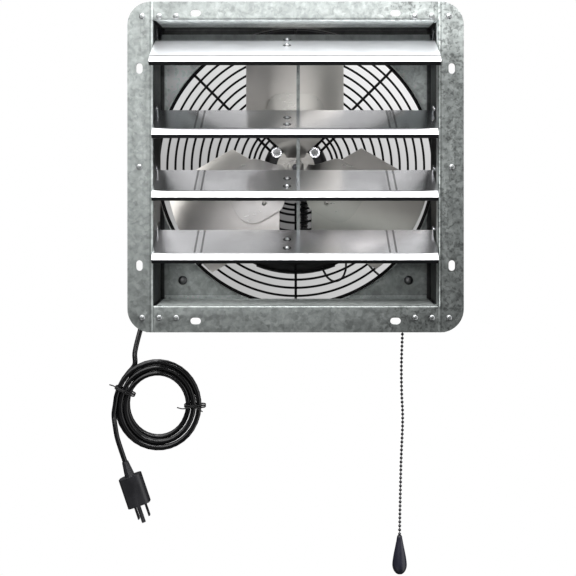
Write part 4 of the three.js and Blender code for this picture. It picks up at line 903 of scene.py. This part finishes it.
LEAD_X, LEAD_DEPTH, LEAD_TOP, LEAD_FOOT, LEAD_RADIUS = 10.0, 163.2, -41.3, -79.7, 4.0
RIB_PITCH, RIB_COUNT = 3.6, 10
lead_outline = [(0, LEAD_FOOT), (LEAD_RADIUS, LEAD_FOOT)]
for k in range(RIB_COUNT):
    base = LEAD_FOOT + 0.5 + RIB_PITCH * k
    for swell, along in ((0, 0), (0.55, 0.5), (0.75, 1.3), (0.55, 2.1), (0, 2.6)):
        lead_outline.append((LEAD_RADIUS + swell, base + along))
lead_outline += [(LEAD_RADIUS, LEAD_TOP), (0, LEAD_TOP)]
lead_parts = [turned(lead_outline, (LEAD_X, LEAD_DEPTH, 0), "z", 32)]
shown("motor_lead", lead_parts, CORD_JACKET, "fan_body", 50)

# The strain relief: a collar, and a tapering stem with grooves
COLLAR_WIDTH, STEM_LENGTH, STEM_RADIUS, STEM_TAPER = 3.0, 25.0, 5.4, 1.5
GROOVES, GROOVE_START, GROOVE_PITCH = 5, 5.4, 4.6
gland_outline = [(0, 0), (7.0, 0), (7.0, 2.6), (6.6, COLLAR_WIDTH), (STEM_RADIUS, COLLAR_WIDTH)]
for k in range(GROOVES):
    start = GROOVE_START + GROOVE_PITCH * k
    radius = STEM_RADIUS - STEM_TAPER * (start - COLLAR_WIDTH) / STEM_LENGTH
    for step, along in ((0, 0), (0.7, 0.3), (0.75, 1.6), (0.1, 1.9)):
        gland_outline.append((radius - step, start + along))
gland_outline += [(3.9, 27.4), (3.6, 28.0), (0, 28.0)]
gland_outline = [(radius, -along) for radius, along in gland_outline]
gland_parts = [turned(gland_outline, (-47.3, 157, -100), "x", 40)]
shown("cord_gland", gland_parts, BLACK_MOULDING, "fan_body", 50)

SWITCH_LEAD_RADIUS = 1.3
SWITCH_LEAD = [
    (123.4, 104.8, -147), (123.2, 113, -147), (121, 129, -145), (114, 144, -140), (104, 153, -132.5),
    (92, 157, -122), (83, 158, -110), (74, 157.5, -101.5), (65, 157, -103), (61, 156.5, -113),
    (60, 156, -124), (55, 155.5, -134), (46, 155, -137), (38.5, 155, -132.5), (33, 155, -123.6),
]
soft_line(
    "switch_lead_shown", smooth_route(SWITCH_LEAD), SWITCH_LEAD_RADIUS, CORD_JACKET, "fan_body",
    ["switch_lead"],
)

# Rotor: shaft, hub, spider and blades on one pitched and cambered surface
BLADE_MID, BLADE_PITCH, CAMBER, HALF_WIDTH, TIP = 102.0, math.radians(22), 5.0, 56.4, 152.8
BLADE_THICK, SPIDER_THICK, SPIDER_FRONT = 1.2, 1.6, -2.1
TWIST_START, TWIST_END = 10.0, 32.0
DISC, ARM_HALF, ARM_END, ARM_CORNER = 22.0, 34.0, 86.0, 22.0
ROOT_REACH, ROOT_ANGLE = 18.5, math.pi / 3
SPIDER_RIVET_X, SPIDER_RIVET_REACH = 18, 51.8
SPIDER_RIVET = [(0, -1.2), (1.8, -1.15), (2.7, -0.6), (3.0, 0.5), (0, 0.5)]


def blade_depth(across, along):
    twist = smoothstep(math.hypot(across, along), TWIST_START, TWIST_END)
    return BLADE_MID + (across * math.tan(BLADE_PITCH) - CAMBER * (1 - (across / HALF_WIDTH) ** 2)) * twist


def on_blade(across_steps, along_steps, place, front, thickness, spin):
    vertices, faces = [], []
    for layer in (0, 1):
        for i in range(across_steps + 1):
            for k in range(along_steps + 1):
                across, along = place(i / across_steps, k / along_steps)
                depth = blade_depth(across, along) + front + thickness * layer
                vertices.append(mm(*(spin @ Vector((across, depth, along)))))
    row = along_steps + 1
    layer = row * (across_steps + 1)
    for i in range(across_steps):
        for k in range(along_steps):
            a = i * row + k
            faces.append((a, a + row, a + row + 1, a + 1))
            faces.append((layer + a, layer + a + 1, layer + a + row + 1, layer + a + row))
    edge = [i * row for i in range(across_steps + 1)]
    edge += [across_steps * row + k for k in range(1, row)]
    edge += [i * row + along_steps for i in range(across_steps - 1, -1, -1)]
    edge += [k for k in range(along_steps - 1, 0, -1)]
    for a, b in zip(edge, edge[1:] + edge[:1]):
        faces.append((a, b, layer + b, layer + a))
    return vertices, faces


def blade_place(u, v):
    across = HALF_WIDTH * (2 * u - 1)
    apex = ROOT_REACH / math.sin(ROOT_ANGLE)
    inner = max(apex + abs(across) / math.tan(ROOT_ANGLE), DISC + 0.3)
    outer = math.sqrt(TIP ** 2 - across ** 2)
    return across, inner + (outer - inner) * v


def arm_place(u, v):
    along = DISC / 2 + (ARM_END - DISC / 2) * v
    past = max(0.0, along - ARM_END + ARM_CORNER) / ARM_CORNER
    tip = ARM_HALF - ARM_CORNER + ARM_CORNER * math.sqrt(max(0.0, 1 - min(1.0, past) ** 2))
    root = DISC / 2 + (ARM_HALF - DISC / 2) * smoothstep(v, 0, 0.4)
    return min(tip, root) * (2 * u - 1), along


spider_disc = [(9.6, 100.1), (DISC, 100.1), (DISC, 101.7), (9.6, 101.7), (9.6, 100.1)]
spider_parts = [turned(spider_disc, (0, 0, 0), "y", 64)]
for number in range(1, 4):
    spin = Matrix.Rotation(TURN * (number - 1) / 3, 3, "Y")
    blade = on_blade(36, 30, blade_place, 0, BLADE_THICK, spin)
    shown(f"fan_blade_{number}", [blade], BLADE_SHEET, "rotor", 50, 0.3)
    spider_parts.append(on_blade(24, 40, arm_place, SPIDER_FRONT, SPIDER_THICK, spin))
    for across in (-SPIDER_RIVET_X, SPIDER_RIVET_X):
        front = blade_depth(across, SPIDER_RIVET_REACH) + SPIDER_FRONT
        place = tuple(spin @ Vector((across, 0, SPIDER_RIVET_REACH)))
        dome = [(radius, front + along) for radius, along in SPIDER_RIVET]
        spider_parts.append(turned(dome, place, "y", 24))
shown("blade_spider", spider_parts, SPIDER_SHEET, "rotor", 50, 0.3)
shaft = [(0, 94.3), (3.6, 94.3), (4, 94.7), (4, 152.6), (0, 152.6)]
shown("motor_shaft", [turned(shaft, (0, 0, 0))], DARK_STEEL, "rotor")
hub = [
    (4.3, 96.2), (8.4, 96.2), (9.1, 96.5), (9.3, 97.2), (9.3, 102), (11.6, 102), (12, 102.5), (12, 119.5),
    (11.5, 120), (4.3, 120), (4.3, 96.2),
]
shown("fan_hub", [turned(hub, (0, 0, 0))], SPIDER_SHEET, "rotor")

# Slats: bright sheet with a sloping front lip and a hem, an ear and a pivot pin at each end
PIVOT_DEPTH, TILT, PIVOT_HEIGHT = 27.0, math.radians(22.5), 5.0
SLAT_HALF, SLAT_SHIFT, LIP, HEM = 151.15, -0.6, 9.3, 4.5
LIP_START, LIP_TILT, HEM_TILT, FOLD_RADIUS, FLAT_STEPS = 0.08, 45.0, 126.0, 0.9, 24
WAVE_DEPTH, WAVE_X, WAVE_Y, WAVE_SEED, CALM_ENDS = 0.05, 0.012, 0.03, 7.3, 12
EAR_RADIUS, EAR_FRONT, EAR_FOOT = 4.0, 4.8, 5.4
PIN_RADIUS, PIN_CHAMFER, PIN_ROOT, PIN_END, WEB_FACE = 2, 0.4, 0.5, 4, 152.5
DOME_X, DOME_PLACES = -9.2, (-14.5, -35.5)
# Each slat's pivot height, and how far its plate reaches back and forward
SLATS = [(148.0, 6.5, 72.4), (63.8, 9.5, 47.5), (-2.2, 9.5, 47.5), (-68.2, 9.5, 47.5)]


def slat_profile(back, front):
    """The sheet's middle line with round folds, in the slat's own depth and height."""
    half = SHEET / 2
    line = [Vector((back, -PIVOT_HEIGHT - half, 0)), Vector((LIP_START - front, -PIVOT_HEIGHT - half, 0))]
    for length, tilt in ((LIP, LIP_TILT), (HEM, HEM_TILT)):
        angle = math.radians(tilt) - TILT
        line.append(line[-1] + Vector((-length * math.cos(angle), -length * math.sin(angle), 0)))
    bent = rounded(line, FOLD_RADIUS, 5)
    flat = [bent[0].lerp(bent[1], k / FLAT_STEPS) for k in range(FLAT_STEPS)]
    return flat + bent[1:]


def slat_mesh(profile, tilt, place, seed, steps=60):
    """The folded sheet with a faint wave that dies out at the ends."""
    half = SHEET / 2
    sides = []
    for i, point in enumerate(profile):
        ahead = profile[min(i + 1, len(profile) - 1)]
        behind = profile[max(i - 1, 0)]
        along = (ahead - behind).normalized()
        sides.append(Vector((-along.y, along.x, 0)))
    count = len(profile)
    vertices, faces = [], []
    for s in range(steps + 1):
        x = -SLAT_HALF + 2 * SLAT_HALF * s / steps
        for sign in (-1, 1):
            for point, normal in zip(profile, sides):
                wave = WAVE_DEPTH * noise.noise(Vector((x * WAVE_X, point.x * WAVE_Y, seed)))
                wave *= min(1.0, (SLAT_HALF - abs(x)) / CALM_ENDS)
                spot = point + normal * (sign * half + wave)
                vertices.append(mm(*(tilt @ Vector((x, spot.x, spot.y)) + place)))
    row = 2 * count
    for s in range(steps):
        a, b = s * row, (s + 1) * row
        for i in range(count - 1):
            faces.append((a + i, b + i, b + i + 1, a + i + 1))
            faces.append((a + count + i, a + count + i + 1, b + count + i + 1, b + count + i))
        for i in (0, count - 1):
            faces.append((a + i, a + count + i, b + count + i, b + i))
    for s in (0, steps):
        for i in range(count - 1):
            a = s * row + i
            faces.append((a, a + 1, a + count + 1, a + count))
    return vertices, faces


def slat_end(side, tilt, place):
    """An ear, with a straight foot under a half round about the pivot, and its pivot pin."""
    x0 = side * SLAT_HALF
    x1 = x0 - side * SHEET
    angles = [math.pi * k / 16 for k in range(17)]
    outline = [(-EAR_FRONT, -EAR_FOOT), (EAR_RADIUS, -EAR_FOOT)]
    outline += [(EAR_RADIUS * math.cos(a), EAR_RADIUS * math.sin(a)) for a in angles]
    ear = [mm(*(tilt @ Vector((x, y, z)) + place)) for x in (x0, x1) for y, z in outline]
    n = len(outline)
    faces = [tuple(range(n)), tuple(range(n, 2 * n))]
    faces += [(i, (i + 1) % n, n + (i + 1) % n, n + i) for i in range(n)]
    start = x0 - side * PIN_ROOT
    end = side * (WEB_FACE + SHEET + PIN_END) - SLAT_SHIFT
    pin = [(0, start), (PIN_RADIUS, start), (PIN_RADIUS, end - side * PIN_CHAMFER)]
    pin += [(PIN_RADIUS - PIN_CHAMFER, end), (0, end)]
    return [(ear, faces), turned(pin, tuple(place), "x", 24)]


dome = [(0, 2.2), (0.8, 2.1), (1.5, 1.75), (2.1, 1.15), (2.45, 0.5), (2.5, -0.1), (0, -0.1)]
tilt = Matrix.Rotation(TILT, 3, "X")
for number, (height, back, front) in enumerate(SLATS, 1):
    place = Vector((SLAT_SHIFT, PIVOT_DEPTH, height))
    parts = [slat_mesh(slat_profile(back, front), tilt, place, number * WAVE_SEED)]
    for side in (-1, 1):
        parts += slat_end(side, tilt, place)
    domes = []
    for rivet in DOME_PLACES:
        spot = tilt @ Vector((DOME_X - SLAT_SHIFT, rivet, -PIVOT_HEIGHT)) + place
        domes.append(turned(dome, spot, "z", 24, tilt))
    piece(
        f"slat_{number}_rivets", mesh_of("slat_rivets", domes), RIVET_STEEL, f"slat_{number}_set",
        smooth_angle=50,
    )
    shown(f"slat_{number}", parts, SLAT_SHEET, f"slat_{number}_set", 40, 0.15)

# Light: a white ground for the camera, greyer behind the guard with painted shadow there, and a soft studio
# for the metal
world = bpy.data.worlds.new("world")
scene.world = world
world.use_nodes = True
world.node_tree.nodes.clear()
w = Nodes(world.node_tree)
x, y, z = w.axes(w.add("TexCoord").outputs["Generated"])

# The guard's middle and reach, as slopes seen from the eye
GUARD_X, GUARD_Z, GUARD_REACH = -0.0011, 0.0041, 0.1225
sideways = w.math("DIVIDE", x, y)
upward = w.math("DIVIDE", z, y)
reach = w.distance(w.minus(sideways, GUARD_X), w.minus(upward, GUARD_Z))
behind = w.times(w.over(y, 0.5), w.under(reach, GUARD_REACH))
# Painted shadow on the ground behind the guard: grey, lighter upwards and to the right, with a dark band
# low down where the motor and box shade it, darkest in the middle, and a near-black band at the top where
# the box's inside is in shade
grey = w.levels(upward, -0.125, 0.135, [
    (-0.12, 0.53), (-0.075, 0.53), (-0.055, 0.0), (-0.02, 0.0), (0.0, 0.5),
    (0.035, 0.58), (0.06, 0.74), (0.1, 0.78), (0.112, 0.01),
])
grey = w.times(grey, w.eased(sideways, -0.11, 0.11, 0.88, 1.18))
low_shadow = w.eased(w.math("ABSOLUTE", sideways), 0.02, 0.1, 0.16, 0.42)
grey = w.largest(grey, w.times(w.under(upward, 0.0), low_shadow))
white = w.add("Background")
w.join(w.inside(behind, grey), white.inputs["Color"])

# The studio: grey levels by height, and brighter areas to the right, to the left and overhead
studio = w.levels(z, -1.0, 1.0, [
    (-1.0, 0.06), (-0.5, 0.04), (-0.12, 0.03), (0.2, 0.05), (0.55, 0.5), (0.78, 0.85), (0.9, 1.0),
])
right_side = w.times(w.eased(x, 0.52, 0.66, 0.0, 1.2), w.eased(y, 0.2, 0.0, 0.0, 1.0))
left_side = w.times(w.eased(x, -0.12, -0.3, 0.0, 1.0), w.eased(y, -0.1, -0.3, 0.0, 1.0))
left_levels = w.plus(w.eased(z, 0.22, 0.45, 0.0, 2.0), w.eased(z, -0.25, -0.45, 0.0, 0.35))
left_side = w.times(left_side, left_levels)
overhead = w.eased(z, 0.8, 0.9, 0.0, 1.25)
lit = w.add("Background")
w.join(w.plus(w.plus(studio, right_side), w.plus(left_side, overhead)), lit.inputs["Strength"])
lit.inputs["Color"].default_value = (1, 1, 1, 1)
choose = w.add("MixShader")
w.join(w.add("LightPath").outputs["Is Camera Ray"], choose.inputs["Fac"])
w.join(lit.outputs[0], choose.inputs[1])
w.join(white.outputs[0], choose.inputs[2])
w.join(choose.outputs[0], w.add("OutputWorld").inputs["Surface"])


def lamp(name, at, aim, size, power):
    data = bpy.data.lights.new(name, "AREA")
    data.shape = "RECTANGLE"
    data.size, data.size_y = size
    data.energy = power
    made = bpy.data.objects.new(name, data)
    made.location = at
    made.rotation_euler = (Vector(aim) - Vector(at)).to_track_quat("-Z", "Y").to_euler()
    collection.objects.link(made)


middle = mm(0, 0, 0)
lamp("key", mm(40, -800, 600), middle, (0.4, 0.3), 4.2)
lamp("left", mm(-450, -1200, 50), middle, (0.3, 0.3), 1.2)
lamp("top", mm(0, -500, 1000), middle, (0.9, 0.3), 14)
lamp("flash", mm(0, -1320, 110), middle, (0.12, 0.12), 0.8)

scene.render.engine = "CYCLES"
